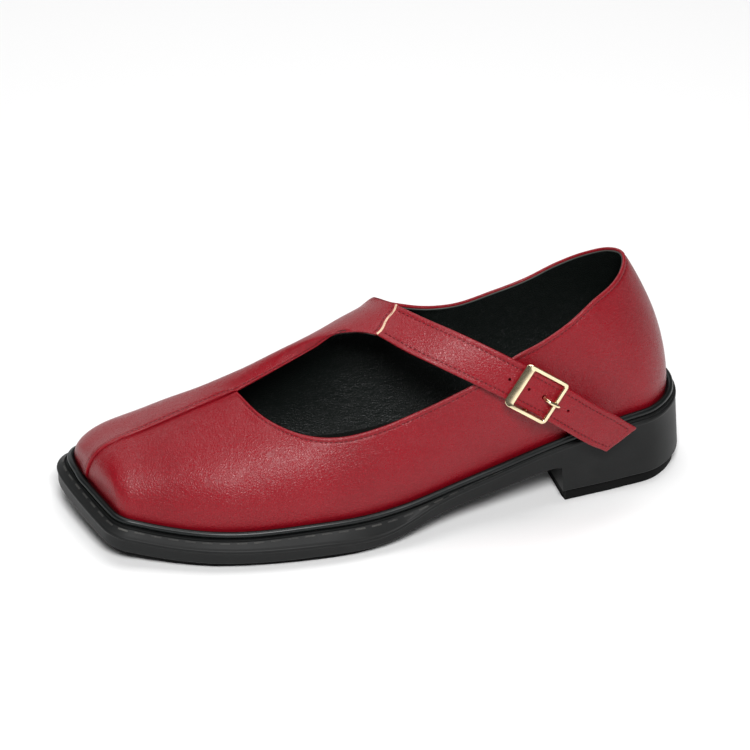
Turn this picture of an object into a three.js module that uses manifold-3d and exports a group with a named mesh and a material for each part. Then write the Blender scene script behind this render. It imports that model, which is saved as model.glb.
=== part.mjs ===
// A square-toed mary jane shoe with a low block heel, for the left foot.
// Millimetres. While it is worked out, x runs from the back of the heel (0) to the toe, y is positive on
// the lateral side and z = 0 is the floor. At the end the whole shoe is centred on its own box.
// Round the shoe, a place is a number from -1 to 1: 0 is the back of the heel, the sign is positive on the
// lateral side, and both 1 and -1 are the toe end of the centre seam.
import * as THREE from "three";
import { mergeVertices } from "three/addons/utils/BufferGeometryUtils.js";
import Module from "manifold-3d";

const wasm = await Module();
wasm.setup();

// Driving sizes
const GAP = 0.3; // between pieces that touch
const SOLE_LENGTH = 256;
const HEEL_RADIUS = 28.6;
const BREAST_X = 58.2; // front face of the heel block
const BREAST_RUN = 1.2; // how far the breast leans forward
const HEEL_BLOCK_BOTTOM = 5.5;
const HEEL_FLARE = 0.075; // outward per millimetre down the heel's side
const TOE_SEAM_Y = -12; // where the centre seam meets the sole
const WALL = 1.8; // thickness of the upper
const LAP_STEP = 0.9; // the medial panel lies this much above the lateral one at the centre seam
const LAP_REACH = 13; // distance from the seam over which that step fades
const BEAD_RADIUS = 1.35;
const TREAD_INSET = 3.2;
const TREAD_FROM_X = 112;
const LIFT_INSET = 1.6;
const INSOLE_INSET = 2.7;
const INSOLE_THICK = 2;
const STRAP_WIDTH = 16;
const STRAP_THICK = 1.8;
const BUCKLE_LONG = 20.4;
const BUCKLE_WIDE = 19.8;
const BUCKLE_THICK = 1.7;
const BAR_WIDE = 1.7;
const FRONT_BAR_WIDE = 3; // the broad bar on the side of the instep
const PIN_RADIUS = 0.8; // centre bar and prong
const CENTRE_BAR_AT = 1.5; // from the buckle's middle, towards the strap's end
const HOLE_AT = 4.2;
const HOLE_RADIUS = 1.3;

// Toe corners of the sole's rim: centre, radius, and the directions where each arc starts and ends
const TOE_CORNERS = {
  lateral: { x: 231.8, y: 8.5, radius: 17, from: 75, to: 10 },
  medial: { x: 238, y: -27.6, radius: 18, from: 5, to: -78 },
};

// Rim of the sole between the heel's arc and the toe corners
const RIM_LATERAL = [
  { x: 62, y: 31.5 },
  { x: 100, y: 37.5 },
  { x: 130, y: 43.6 },
  { x: 160, y: 45.4 },
  { x: 205, y: 38.2 },
];
const RIM_MEDIAL = [
  { x: 212, y: -46 },
  { x: 180, y: -44 },
  { x: 140, y: -33 },
  { x: 100, y: -25 },
  { x: 62, y: -27 },
];

// Heights along the sole: seat is where the upper stands, crease is the top edge of the side wall,
// bottom is its lower edge, and ledge is how far the rim stands out from the upper
const SOLE_LEVELS = [
  { at: 0, seat: 32.2, crease: 30.8, bottom: 18.6, ledge: 4.5 },
  { at: 30, seat: 31, crease: 29.6, bottom: 18.4, ledge: 4.3 },
  { at: 60, seat: 27, crease: 26.2, bottom: 17.4, ledge: 4 },
  { at: 90, seat: 22, crease: 20.8, bottom: 13.4, ledge: 4 },
  { at: 115, seat: 17.2, crease: 16.2, bottom: 9.8, ledge: 5.6 },
  { at: 137, seat: 13.6, crease: 8.8, bottom: 3.8, ledge: 7.4 },
  { at: 165, seat: 12.5, crease: 8.9, bottom: 3.2, ledge: 8.4 },
  { at: 200, seat: 12, crease: 9.1, bottom: 2.9, ledge: 7.6 },
  { at: 230, seat: 14.3, crease: 11.1, bottom: 4.5, ledge: 7.6 },
  { at: 256, seat: 20.4, crease: 16, bottom: 8.9, ledge: 7.6 },
];

// Underside of the forefoot's tread, flat on the floor under the ball and rising with the toe spring
const TREAD_LEVELS = [
  { at: 112, floor: 8.3 },
  { at: 126, floor: 4.6 },
  { at: 140, floor: 1.2 },
  { at: 150, floor: 0 },
  { at: 178, floor: 0 },
  { at: 208, floor: 0 },
  { at: 230, floor: 1.6 },
  { at: 256, floor: 6 },
];

// Top edge of the upper round the collar, from the strap's joint over the instep, down the medial side,
// round the heel and along the lateral side to the throat
const COLLAR = [
  { at: -0.51, x: 119.7, y: -1, z: 87.4 },
  { at: -0.495, x: 122, y: -6.5, z: 86 },
  { at: -0.48, x: 124, y: -12, z: 84.5 },
  { at: -0.463, x: 124.5, y: -16, z: 82.5 },
  { at: -0.44, x: 121, y: -18.5, z: 79 },
  { at: -0.415, x: 112, y: -19, z: 75.3 },
  { at: -0.385, x: 103.2, y: -19, z: 73.1 },
  { at: -0.34, x: 89.8, y: -20, z: 71.4 },
  { at: -0.28, x: 72.5, y: -22, z: 73.3 },
  { at: -0.215, x: 58.3, y: -21.6, z: 77.2 },
  { at: -0.155, x: 45.8, y: -20, z: 83.2 },
  { at: -0.1, x: 35.6, y: -16, z: 88.6 },
  { at: -0.05, x: 27.4, y: -9, z: 93.6 },
  { at: 0, x: 24, y: 0, z: 96 },
  { at: 0.05, x: 26.6, y: 8, z: 94 },
  { at: 0.1, x: 33.4, y: 15, z: 91 },
  { at: 0.15, x: 43.6, y: 20.5, z: 87.8 },
  { at: 0.2, x: 55, y: 24, z: 81.2 },
  { at: 0.25, x: 67.2, y: 27, z: 76.4 },
  { at: 0.3, x: 80, y: 29.5, z: 72.8 },
  { at: 0.345, x: 93, y: 30.5, z: 65.3 },
  { at: 0.385, x: 105.9, y: 31, z: 60.5 },
  { at: 0.44, x: 121.9, y: 31, z: 55 },
  { at: 0.495, x: 137.9, y: 31, z: 50.8 },
  { at: 0.55, x: 152.5, y: 29, z: 48.4 },
  { at: 0.61, x: 166.3, y: 23.5, z: 49 },
  { at: 0.655, x: 174.8, y: 16, z: 50.7 },
  { at: 0.695, x: 180.9, y: 8, z: 53.2 },
  { at: 0.735, x: 185.6, y: -5.5, z: 55.5 },
];

// Upper edge of the cut-out, from the throat over the instep to the strap's joint
const CUT_OUT = [
  { at: -0.735, x: 185.6, y: -5.5, z: 55.5 },
  { at: -0.695, x: 169, y: -4, z: 63.7 },
  { at: -0.65, x: 152.9, y: -2, z: 72.4 },
  { at: -0.615, x: 145, y: 1, z: 79 },
  { at: -0.585, x: 137.6, y: 5, z: 80.8 },
  { at: -0.555, x: 131.2, y: 9, z: 80.9 },
];

// Centre seam from the throat towards the toe; its last point is on the sole
const SEAM = [
  { at: 0.735, x: 185.6, y: -5.5, z: 55.5 },
  { at: 0.79, x: 201.2, y: -7.5, z: 49.5 },
  { at: 0.855, x: 223.2, y: -8, z: 42.4 },
  { at: 0.905, x: 238, y: -8.3, z: 38.2 },
  { at: 0.945, x: 244.5, y: -9, z: 32.8 },
  { at: 0.975, x: 247, y: -10.2, z: 26 },
];

// How the wall rises from the sole: flare is its lean outwards there, in degrees, drop is its direction
// where it comes down from the top edge (0 straight down, 90 level and outwards, more than 90 rising),
// and rise and crown say how far each direction carries, as a share of the straight distance
const WALL_FORM = [
  { at: -1, flare: 6, rise: 0.4, drop: 55, crown: 0.36 },
  { at: -0.945, flare: 6, rise: 0.44, drop: 58, crown: 0.34 },
  { at: -0.905, flare: 6, rise: 0.42, drop: 64, crown: 0.37 },
  { at: -0.855, flare: 6, rise: 0.4, drop: 85, crown: 0.44 },
  { at: -0.79, flare: 7, rise: 0.4, drop: 87, crown: 0.44 },
  { at: -0.735, flare: 8, rise: 0.4, drop: 89, crown: 0.41 },
  { at: -0.69, flare: 10, rise: 0.4, drop: 91, crown: 0.38 },
  { at: -0.62, flare: 14, rise: 0.38, drop: 93, crown: 0.34 },
  { at: -0.585, flare: 15, rise: 0.38, drop: 98, crown: 0.34 },
  { at: -0.555, flare: 16, rise: 0.38, drop: 104, crown: 0.36 },
  { at: -0.51, flare: 16, rise: 0.38, drop: 92, crown: 0.36 },
  { at: -0.48, flare: 16, rise: 0.36, drop: 72, crown: 0.33 },
  { at: -0.44, flare: 16, rise: 0.34, drop: 36, crown: 0.3 },
  { at: -0.34, flare: 14, rise: 0.33, drop: 13, crown: 0.3 },
  { at: -0.2, flare: 11, rise: 0.33, drop: 14, crown: 0.3 },
  { at: -0.1, flare: 7, rise: 0.33, drop: 26, crown: 0.3 },
  { at: 0, flare: 4, rise: 0.32, drop: 30, crown: 0.33 },
  { at: 0.1, flare: 7, rise: 0.33, drop: 26, crown: 0.3 },
  { at: 0.2, flare: 11, rise: 0.33, drop: 14, crown: 0.3 },
  { at: 0.31, flare: 13, rise: 0.33, drop: 10, crown: 0.3 },
  { at: 0.44, flare: 13, rise: 0.33, drop: 18, crown: 0.33 },
  { at: 0.55, flare: 12, rise: 0.36, drop: 34, crown: 0.36 },
  { at: 0.655, flare: 10, rise: 0.4, drop: 60, crown: 0.4 },
  { at: 0.735, flare: 8, rise: 0.42, drop: 72, crown: 0.42 },
  { at: 0.79, flare: 6, rise: 0.42, drop: 78, crown: 0.44 },
  { at: 0.855, flare: 5, rise: 0.42, drop: 82, crown: 0.46 },
  { at: 0.905, flare: 5, rise: 0.46, drop: 82, crown: 0.5 },
  { at: 0.945, flare: 6, rise: 0.5, drop: 76, crown: 0.5 },
  { at: 1, flare: 6, rise: 0.4, drop: 60, crown: 0.4 },
];

// On the medial side of the vamp the wall heads for these points instead on its way down
const INSTEP = [
  { at: -0.79, x: 210, y: -28, z: 48.5 },
  { at: -0.735, x: 202.5, y: -21.5, z: 55.5 },
  { at: -0.69, x: 195, y: -15.5, z: 61.5 },
  { at: -0.645, x: 186.5, y: -11, z: 68.5 },
  { at: -0.6, x: 174, y: -11, z: 76 },
  { at: -0.555, x: 159.5, y: -17, z: 87 },
  { at: -0.51, x: 144.5, y: -30.5, z: 79.5 },
  { at: -0.465, x: 128, y: -33.5, z: 73.5 },
  { at: -0.42, x: 106, y: -31.5, z: 69 },
  { at: -0.33, x: 86, y: -23, z: 58 },
];

// Outer face of the strap: its upper edge u and its lower edge l, from the joint to the free end
const STRAP = [
  { at: 0, ux: 119.7, uy: -1, uz: 87.4, lx: 131.2, ly: 9, lz: 80.9 },
  { at: 1, ux: 111.6, uy: 10, uz: 86.5, lx: 122.3, ly: 19, lz: 77.2 },
  { at: 2, ux: 101.8, uy: 20, uz: 84, lx: 111.6, ly: 27, lz: 73 },
  { at: 3, ux: 91.2, uy: 27.8, uz: 79.9, lx: 100.2, ly: 32.6, lz: 67 },
  { at: 4, ux: 80, uy: 33.6, uz: 74.2, lx: 88.3, ly: 36.6, lz: 59.8 },
  { at: 5, ux: 68.6, uy: 36.6, uz: 66.9, lx: 76.6, ly: 38.6, lz: 51.8 },
  { at: 6, ux: 56.8, uy: 38.4, uz: 58, lx: 65, ly: 39.6, lz: 43 },
  { at: 7, ux: 47.6, uy: 38.6, uz: 50.2, lx: 56.2, ly: 39.4, lz: 35.6 },
  { at: 8, ux: 38.4, uy: 38, uz: 42, lx: 48.6, ly: 38.8, lz: 30.4 },
  { at: 9, ux: 28.6, uy: 36.6, uz: 33.6, lx: 42.2, ly: 38, lz: 25.6 },
];
const STRAP_END = STRAP.length - 1;
const BUCKLE_STRAP_AT = 4.95;

// Value of one column of a table at a place between its rows, on a smooth curve
function smooth(rows, column, place) {
  let i = 0;
  while (i < rows.length - 2 && place > rows[i + 1].at) i++;
  const steep = (j) => (rows[j + 1][column] - rows[j][column]) / (rows[j + 1].at - rows[j].at);
  const slope = (j) => {
    if (j === 0) return steep(0);
    if (j === rows.length - 1) return steep(j - 1);
    const before = rows[j].at - rows[j - 1].at;
    const after = rows[j + 1].at - rows[j].at;
    return (steep(j - 1) * after + steep(j) * before) / (before + after);
  };
  const span = rows[i + 1].at - rows[i].at;
  const t = Math.min(Math.max((place - rows[i].at) / span, 0), 1);
  const s = 1 - t;
  return (
    rows[i][column] * s * s * (1 + 2 * t) +
    rows[i + 1][column] * t * t * (3 - 2 * t) +
    span * t * s * (slope(i) * s - slope(i + 1) * t)
  );
}

const point = (rows, place) => new THREE.Vector3(...["x", "y", "z"].map((c) => smooth(rows, c, place)));
const level = (column, x) => smooth(SOLE_LEVELS, column, x);
const radians = THREE.MathUtils.degToRad;
const ease = (t) => THREE.MathUtils.smoothstep(t, 0, 1);

// A closed mesh gathered from faces, with points that lie together joined
class Skin {
  constructor() {
    this.corners = [];
  }
  face(a, b, c) {
    this.corners.push(a, b, c);
  }
  quad(a, b, c, d) {
    this.face(a, b, c);
    this.face(a, c, d);
  }
  // A band between two rows of points; it faces out when the first row is above the second
  band(upper, lower, closed = true) {
    const count = closed ? upper.length : upper.length - 1;
    for (let i = 0; i < count; i++) {
      const next = (i + 1) % upper.length;
      this.quad(upper[i], upper[next], lower[next], lower[i]);
    }
  }
  // The inside of a ring, spanned from its lateral half to its medial half
  ladder(ring, facesUp) {
    for (let i = 0; i < ring.length / 2 - 1; i++) {
      const j = ring.length - 1 - i;
      const rung = [ring[j], ring[j - 1], ring[i + 1], ring[i]];
      this.quad(...(facesUp ? rung : rung.reverse()));
    }
  }
  geometry() {
    const flat = new THREE.BufferGeometry().setFromPoints(this.corners);
    const merged = mergeVertices(flat, 1e-3);
    const index = [];
    for (let i = 0; i < merged.index.count; i += 3) {
      const [a, b, c] = [0, 1, 2].map((k) => merged.index.getX(i + k));
      if (a !== b && b !== c && c !== a) index.push(a, b, c);
    }
    return merged.setIndex(index);
  }
}

// Outline of the sole's rim
function rimCurve() {
  const arc = (cx, cy, radius, from, to, steps) =>
    Array.from({ length: steps + 1 }, (_, i) => {
      const angle = radians(from + ((to - from) * i) / steps);
      return new THREE.Vector3(cx + radius * Math.cos(angle), cy + radius * Math.sin(angle), 0);
    });
  const heel = (from, to) => arc(HEEL_RADIUS, 0, HEEL_RADIUS, from, to, 3);
  const corner = ({ x, y, radius, from, to }) => arc(x, y, radius, from, to, 3);
  const side = (rows) => rows.map(({ x, y }) => new THREE.Vector3(x, y, 0));
  return new THREE.CatmullRomCurve3(
    [
      ...heel(180, 85),
      ...side(RIM_LATERAL),
      ...corner(TOE_CORNERS.lateral),
      ...corner(TOE_CORNERS.medial),
      ...side(RIM_MEDIAL),
      ...heel(275, 212),
    ],
    true,
    "centripetal",
  );
}

const RIM = rimCurve();
RIM.arcLengthDivisions = 1600;
const RIM_STEPS = 1600;
const RIM_POINTS = RIM.getSpacedPoints(RIM_STEPS).slice(0, RIM_STEPS);
const TOE_INDEX = RIM_POINTS.findIndex((p) => p.x > SOLE_LENGTH - 20 && p.y < TOE_SEAM_Y);

// Index round the rim, with its fraction, of a place from -1 to 1
const rimIndex = (place) =>
  place >= 0 ? place * TOE_INDEX : RIM_STEPS + place * (RIM_STEPS - TOE_INDEX);

// Point of the rim, moved in by a distance along the rim's own normal
function plan(place, inset) {
  const index = rimIndex(place);
  const before = RIM_POINTS[(Math.floor(index) + RIM_STEPS) % RIM_STEPS];
  const after = RIM_POINTS[(Math.floor(index) + 1) % RIM_STEPS];
  const at = before.clone().lerp(after, index - Math.floor(index));
  return at.addScaledVector(outward(place), -inset);
}

// Level direction that points out of the rim
function outward(place) {
  const index = Math.round(rimIndex(place));
  const span = 8;
  const ahead = RIM_POINTS[(index + span) % RIM_STEPS];
  const behind = RIM_POINTS[(index - span + RIM_STEPS) % RIM_STEPS];
  const run = ahead.clone().sub(behind).normalize();
  return new THREE.Vector3(-run.y, run.x, 0);
}

// Place on one side of the rim where x reaches a value, looking from the heel towards the toe
function placeAt(side, x) {
  const steps = 2000;
  for (let i = 1; i < steps; i++) if (plan((side * i) / steps, 0).x >= x) return (side * i) / steps;
  return side;
}

// Places along one side between marks, each stretch cut into its own number of equal steps
function places(marks, counts) {
  const list = [marks[0]];
  counts.forEach((count, k) => {
    for (let i = 1; i <= count; i++) list.push(marks[k] + ((marks[k + 1] - marks[k]) * i) / count);
  });
  return list;
}

// Both sides as one ring, from the heel along the lateral side and back along the medial side
const ringOf = (lateral, medial) => [...lateral, ...medial.toReversed()];

function soleRing() {
  const side = (sign) =>
    places(
      [0, placeAt(sign, BREAST_X), placeAt(sign, BREAST_X + BREAST_RUN), placeAt(sign, BREAST_X + 7), sign],
      [13, 1, 2, 34],
    );
  return ringOf(side(1), side(-1));
}

const SOLE_RING = soleRing();

// Distance of the upper's foot from the rim, and how wide the bead may be there
const ledgeAt = (place) => level("ledge", plan(place, 0).x);

// Lower edge of the sole's side wall, with the heel block behind the breast
function wallBottom(x) {
  if (x <= BREAST_X + 0.1) return HEEL_BLOCK_BOTTOM;
  const full = level("bottom", x);
  return x < BREAST_X + BREAST_RUN + 0.4 ? full - 1 : full;
}

// The moulded unit: plate, ledge with its groove, side wall, arch and heel block
function soleUnit() {
  const BEAD_SEAT = 2 * BEAD_RADIUS + 0.7;
  const rows = SOLE_RING.map((place) => {
    const rim = plan(place, 0);
    const ledge = ledgeAt(place);
    const seat = level("seat", plan(place, ledge).x);
    const crease = level("crease", rim.x);
    const bottom = wallBottom(rim.x);
    const seatEdge = Math.max(ledge - BEAD_SEAT, 0.7);
    const groove = THREE.MathUtils.clamp((ledge - 5) / 2, 0, 1);
    const flare = HEEL_FLARE * (1 - ease((rim.x - 70) / 50));
    const at = (inset, z) => {
      const p = plan(place, inset);
      p.z = z;
      return p;
    };
    const wallAt = (inset, z) => at(inset - flare * (crease - z), z);
    return [
      at(ledge, seat),
      at(seatEdge, seat - 0.05),
      at(seatEdge - 0.15 - 0.1 * groove, seat - 0.1 - 0.7 * groove),
      at(seatEdge - 0.25 - 0.9 * groove, seat - 0.15 - 0.7 * groove),
      at(seatEdge * (1 - 0.1 * groove) - 0.3 - 1 * groove, seat - 0.25 - 0.1 * groove),
      at(0.45, crease + 0.2),
      at(0, crease - 0.7),
      wallAt(0.35, crease - 1.6),
      wallAt(0.45, bottom + 0.7),
      wallAt(1, bottom),
    ];
  });
  const skin = new Skin();
  const rings = rows[0].map((_, k) => rows.map((row) => row[k]));
  skin.ladder(rings[0], true);
  for (let k = 0; k < rings.length - 1; k++) skin.band(rings[k], rings[k + 1]);
  skin.ladder(rings.at(-1), false);
  return skin.geometry();
}

// A layer with the rim's outline moved in, between two surfaces that depend on x
function layer(ring, inset, top, bottom, edge) {
  const at = (place, more, height) => {
    const p = plan(place, inset(place) + more);
    p.z = height(p.x);
    return p;
  };
  const row = (more, height) => ring.map((place) => at(place, more, height));
  const rings = [
    row(edge, top),
    row(0, (x) => top(x) - edge),
    row(0, (x) => Math.min(bottom(x) + edge, (top(x) + bottom(x)) / 2)),
    row(edge, bottom),
  ];
  const skin = new Skin();
  skin.ladder(rings[0], true);
  for (let k = 0; k < 3; k++) skin.band(rings[k], rings[k + 1]);
  skin.band(rings[3], rings[3].map((p) => p.clone()));
  skin.ladder(rings[3], false);
  return skin.geometry();
}

function heelTopLift() {
  const front = BREAST_X - 1.6;
  const side = (sign) => places([0, placeAt(sign, front)], [13]);
  const top = () => HEEL_BLOCK_BOTTOM - GAP;
  const floor = () => 0;
  return layer(ringOf(side(1), side(-1)), () => LIFT_INSET - 1.2, top, floor, 0.5);
}

function forefootTread() {
  const side = (sign) => places([placeAt(sign, TREAD_FROM_X), sign], [24]);
  const top = (x) => level("bottom", x) - GAP;
  const floor = (x) => Math.max(smooth(TREAD_LEVELS, "floor", x), 0);
  return layer(ringOf(side(1), side(-1)), () => TREAD_INSET, top, floor, 0.3);
}

const THROAT = SEAM[0].at;
const JOINT_LOWER = CUT_OUT.at(-1).at;
const JOINT_UPPER = COLLAR[0].at;

// Foot of the upper, on the sole
function footPoint(place) {
  const p = plan(place, ledgeAt(place));
  p.z = level("seat", p.x) + GAP;
  return p;
}

// Top edge of the upper, with the centre seam between the throat and the toe
function topPoint(place) {
  if (Math.abs(place) >= THROAT) {
    const toe = footPoint(1);
    return point([...SEAM, { at: 1, x: toe.x, y: toe.y, z: toe.z }], Math.abs(place));
  }
  if (place >= JOINT_UPPER) return point(COLLAR, place);
  if (place <= JOINT_LOWER) return point(CUT_OUT, place);
  const share = (place - JOINT_LOWER) / (JOINT_UPPER - JOINT_LOWER);
  return point(CUT_OUT, JOINT_LOWER).lerp(point(COLLAR, JOINT_UPPER), share);
}

// Outer face of the upper at a place round it and a share of the way up, before the lap at the seam
function wallPoint(place, up) {
  const foot = footPoint(place);
  const top = topPoint(place);
  const form = (column) => smooth(WALL_FORM, column, place);
  const reach = foot.distanceTo(top);
  const out = outward(place);
  const away = foot.clone().sub(top).setZ(0).addScaledVector(out, 0.25 * (top.z - foot.z)).normalize();
  const flare = radians(form("flare"));
  const drop = radians(form("drop"));
  const low = foot.clone().addScaledVector(out, Math.sin(flare) * form("rise") * reach);
  low.z += Math.cos(flare) * form("rise") * reach;
  const high = top.clone().addScaledVector(away, Math.sin(drop) * form("crown") * reach);
  high.z -= Math.cos(drop) * form("crown") * reach;
  const [start, full, fading, end] = [0, 1, -2, -1].map((k) => INSTEP.at(k).at);
  const share = ease((place - start) / (full - start)) * ease((end - place) / (end - fading));
  high.lerp(point(INSTEP, place), share);
  return new THREE.CubicBezierCurve3(foot, low, high, top).getPoint(up);
}

// How far the medial panel is raised where it laps over the lateral one
function lapHeight(place, up) {
  if (place > -THROAT) return 0;
  const reach = footPoint(place).distanceTo(topPoint(place));
  const fade = 1 - ease(((1 - up) * reach) / LAP_REACH);
  const foot = ease((up * reach) / 5);
  return LAP_STEP * fade * foot * ease((1 + place) / 0.02);
}

// Places of the upper's columns, with its corners among them
const SEAM_COLUMNS = 16;
const UPPER_RING = ringOf(
  places([0, THROAT, 1], [36, SEAM_COLUMNS]),
  places([0, JOINT_UPPER, JOINT_LOWER, -THROAT, -1], [24, 3, 9, SEAM_COLUMNS]),
);
const UPPER_ROWS = 13;

function insole() {
  const top = (x) => level("seat", x) + GAP + INSOLE_THICK;
  const bottom = (x) => level("seat", x) + GAP;
  return layer(UPPER_RING, (place) => ledgeAt(place) + INSOLE_INSET, top, bottom, 0.4);
}

// How far the wall leans out over the height of the bead
function leanAt(place) {
  const foot = footPoint(place);
  const reach = foot.distanceTo(topPoint(place)) + 1;
  const share = Math.min(1, (3 * BEAD_RADIUS) / (3 * smooth(WALL_FORM, "rise", place) * reach));
  const leans = [share / 2, share].map((up) => wallPoint(place, up).sub(foot).dot(outward(place)));
  const atToe = 1 - ease((1 - Math.abs(place)) / 0.04);
  return Math.max(0.9 * atToe, ...leans);
}

// The rounded rand that runs round the foot of the upper
function weltBead() {
  const sides = 6;
  const skin = new Skin();
  const loops = UPPER_RING.map((place) => {
    const centre = plan(place, ledgeAt(place) - GAP - leanAt(place) - BEAD_RADIUS);
    centre.z = footPoint(place).z + BEAD_RADIUS;
    const out = outward(place);
    return Array.from({ length: sides }, (_, k) => {
      const angle = ((k + 0.5) / sides) * 2 * Math.PI;
      const p = centre.clone().addScaledVector(out, BEAD_RADIUS * Math.cos(angle));
      p.z += BEAD_RADIUS * Math.sin(angle);
      return p;
    });
  });
  for (let k = 0; k < sides; k++) {
    const next = (k + 1) % sides;
    skin.band(loops.map((loop) => loop[next]), loops.map((loop) => loop[k]));
  }
  return skin.geometry();
}

// The hollow upper: outer face, inner face, the lap's step, the rim and the foot's edge

function upper() {
  const ring = UPPER_RING;
  const grid = Array.from({ length: UPPER_ROWS + 1 }, (_, j) =>
    ring.map((place) => wallPoint(place, 1 - j / UPPER_ROWS)),
  );
  const seam = (i) => Math.abs(ring[i]) >= THROAT - 1e-9;
  const face = new Skin();
  for (let j = 0; j < UPPER_ROWS; j++) face.band(grid[j], grid[j + 1], false);
  const normals = normalsAt(face, grid.flat());
  const normal = (j, i) => normals[j * ring.length + i];
  const inner = grid.map((row, j) =>
    row.map((p, i) => {
      const q = p.clone().addScaledVector(normal(j, i), -WALL);
      if (j === UPPER_ROWS) q.z = level("seat", q.x) + GAP;
      return q;
    }),
  );
  const outer = grid.map((row, j) =>
    row.map((p, i) => p.clone().addScaledVector(normal(j, i), lapHeight(ring[i], 1 - j / UPPER_ROWS))),
  );
  const skin = new Skin();
  for (let j = 0; j < UPPER_ROWS; j++) {
    skin.band(outer[j], outer[j + 1], false);
    skin.band(inner[j + 1], inner[j], false);
  }
  skin.band(outer[UPPER_ROWS], inner[UPPER_ROWS], false);
  const throat = ring.findIndex((_, i) => seam(i));
  const last = ring.length - 1 - ring.toReversed().findIndex((place) => Math.abs(place) >= THROAT - 1e-9);
  skin.band(inner[0].slice(0, throat + 1), outer[0].slice(0, throat + 1), false);
  skin.band(inner[0].slice(last), outer[0].slice(last), false);
  const lateralEdge = outer[0].slice(throat, throat + SEAM_COLUMNS + 1);
  const medialEdge = outer[0].slice(last - SEAM_COLUMNS, last + 1).toReversed();
  skin.band(medialEdge, lateralEdge, false);
  skin.face(outer[0][last], outer[0][throat], inner[0][throat]);
  return skin.geometry();
}

// Smooth normals of a gathered face at the given points
function normalsAt(skin, points) {
  const key = (p) => [p.x, p.y, p.z].map((v) => Math.round(v * 500)).join();
  const sums = new Map();
  const [ab, ac] = [new THREE.Vector3(), new THREE.Vector3()];
  for (let i = 0; i < skin.corners.length; i += 3) {
    const [a, b, c] = skin.corners.slice(i, i + 3);
    const area = ab.subVectors(b, a).cross(ac.subVectors(c, a));
    for (const p of [a, b, c]) {
      if (!sums.has(key(p))) sums.set(key(p), new THREE.Vector3());
      sums.get(key(p)).add(area);
    }
  }
  return points.map((p) => sums.get(key(p)).clone().normalize());
}

// Middle, directions and edges of the strap's outer face at a place along it
function strapAt(place) {
  const edge = (side) => new THREE.Vector3(...["x", "y", "z"].map((c) => smooth(STRAP, side + c, place)));
  const middleAt = (t) =>
    new THREE.Vector3(
      ...["x", "y", "z"].map((c) => (smooth(STRAP, "u" + c, t) + smooth(STRAP, "l" + c, t)) / 2),
    );
  const [high, low] = [edge("u"), edge("l")];
  const across = high.clone().sub(low).normalize();
  const along = middleAt(Math.min(place + 0.1, STRAP_END)).sub(middleAt(Math.max(place - 0.1, 0))).normalize();
  const out = along.clone().cross(across).normalize();
  return { middle: middleAt(place), high, low, across, along, out };
}

function strap() {
  const steps = 26;
  const sections = Array.from({ length: steps + 1 }, (_, i) => {
    const place = THREE.MathUtils.lerp(0.09, STRAP_END, i / steps);
    const { high, low, across, out } = strapAt(place);
    const trim = i > steps - 4 ? 0 : (high.distanceTo(low) - STRAP_WIDTH) / 2;
    const edge = 0.35;
    const top = high.clone().addScaledVector(across, -trim);
    const foot = low.clone().addScaledVector(across, trim);
    const at = (from, inward, depth) =>
      from.clone().addScaledVector(across, inward).addScaledVector(out, -depth);
    return [
      at(top, -edge, 0),
      at(top, 0, edge),
      at(top, 0, STRAP_THICK - edge),
      at(top, -edge, STRAP_THICK),
      at(foot, edge, STRAP_THICK),
      at(foot, 0, STRAP_THICK - edge),
      at(foot, 0, edge),
      at(foot, edge, 0),
    ];
  });
  return tube(sections);
}

// A solid through sections that have the same number of points
function tube(sections) {
  const skin = new Skin();
  const count = sections[0].length;
  for (let k = 0; k < count; k++) {
    const next = (k + 1) % count;
    skin.band(sections.map((s) => s[k]), sections.map((s) => s[next]), false);
  }
  const [first, end] = [sections[0], sections.at(-1)];
  for (let k = 1; k < count - 1; k++) {
    skin.face(first[0], first[k], first[k + 1]);
    skin.face(end[0], end[k + 1], end[k]);
  }
  return skin.geometry();
}

// Point of the quarter's outer face with the given x and z, and its normal
function quarterAt(x, z) {
  let [place, up] = [0.28, 0.6];
  const step = 1e-3;
  for (let turn = 0; turn < 12; turn++) {
    const here = wallPoint(place, up);
    const byPlace = wallPoint(place + step, up).sub(here).divideScalar(step);
    const byUp = wallPoint(place, up + step).sub(here).divideScalar(step);
    const [dx, dz] = [x - here.x, z - here.z];
    const det = byPlace.x * byUp.z - byUp.x * byPlace.z;
    place += (dx * byUp.z - byUp.x * dz) / det;
    up += (byPlace.x * dz - dx * byPlace.z) / det;
  }
  const here = wallPoint(place, up);
  const byPlace = wallPoint(place + step, up).sub(here);
  const byUp = wallPoint(place, up + step).sub(here);
  return { at: here, out: byUp.cross(byPlace).normalize() };
}

// Turns a closed geometry into a solid for joining and cutting, and back
function solid(geometry) {
  const bare = geometry.clone();
  bare.deleteAttribute("normal");
  bare.deleteAttribute("uv");
  const merged = mergeVertices(bare, 1e-4);
  return new wasm.Manifold(
    new wasm.Mesh({
      numProp: 3,
      vertProperties: new Float32Array(merged.attributes.position.array),
      triVerts: new Uint32Array(merged.index.array),
    }),
  );
}

function geometryOf(made) {
  const mesh = made.getMesh();
  return new THREE.BufferGeometry()
    .setAttribute("position", new THREE.BufferAttribute(mesh.vertProperties, 3))
    .setIndex(new THREE.BufferAttribute(mesh.triVerts, 1));
}

// The buckle's own axes: x along the strap to its end, y across it, z out of the quarter
function buckleMatrix() {
  const { middle, across, along, out } = strapAt(BUCKLE_STRAP_AT);
  const square = across.clone().addScaledVector(along, -across.dot(along)).normalize();
  return new THREE.Matrix4().makeBasis(along, square, out).setPosition(middle);
}

const FRAME_Z = 0.45; // underside of the frame above the strap's outer face
const CENTRE_BAR_Z = -STRAP_THICK - GAP - PIN_RADIUS;

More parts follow.
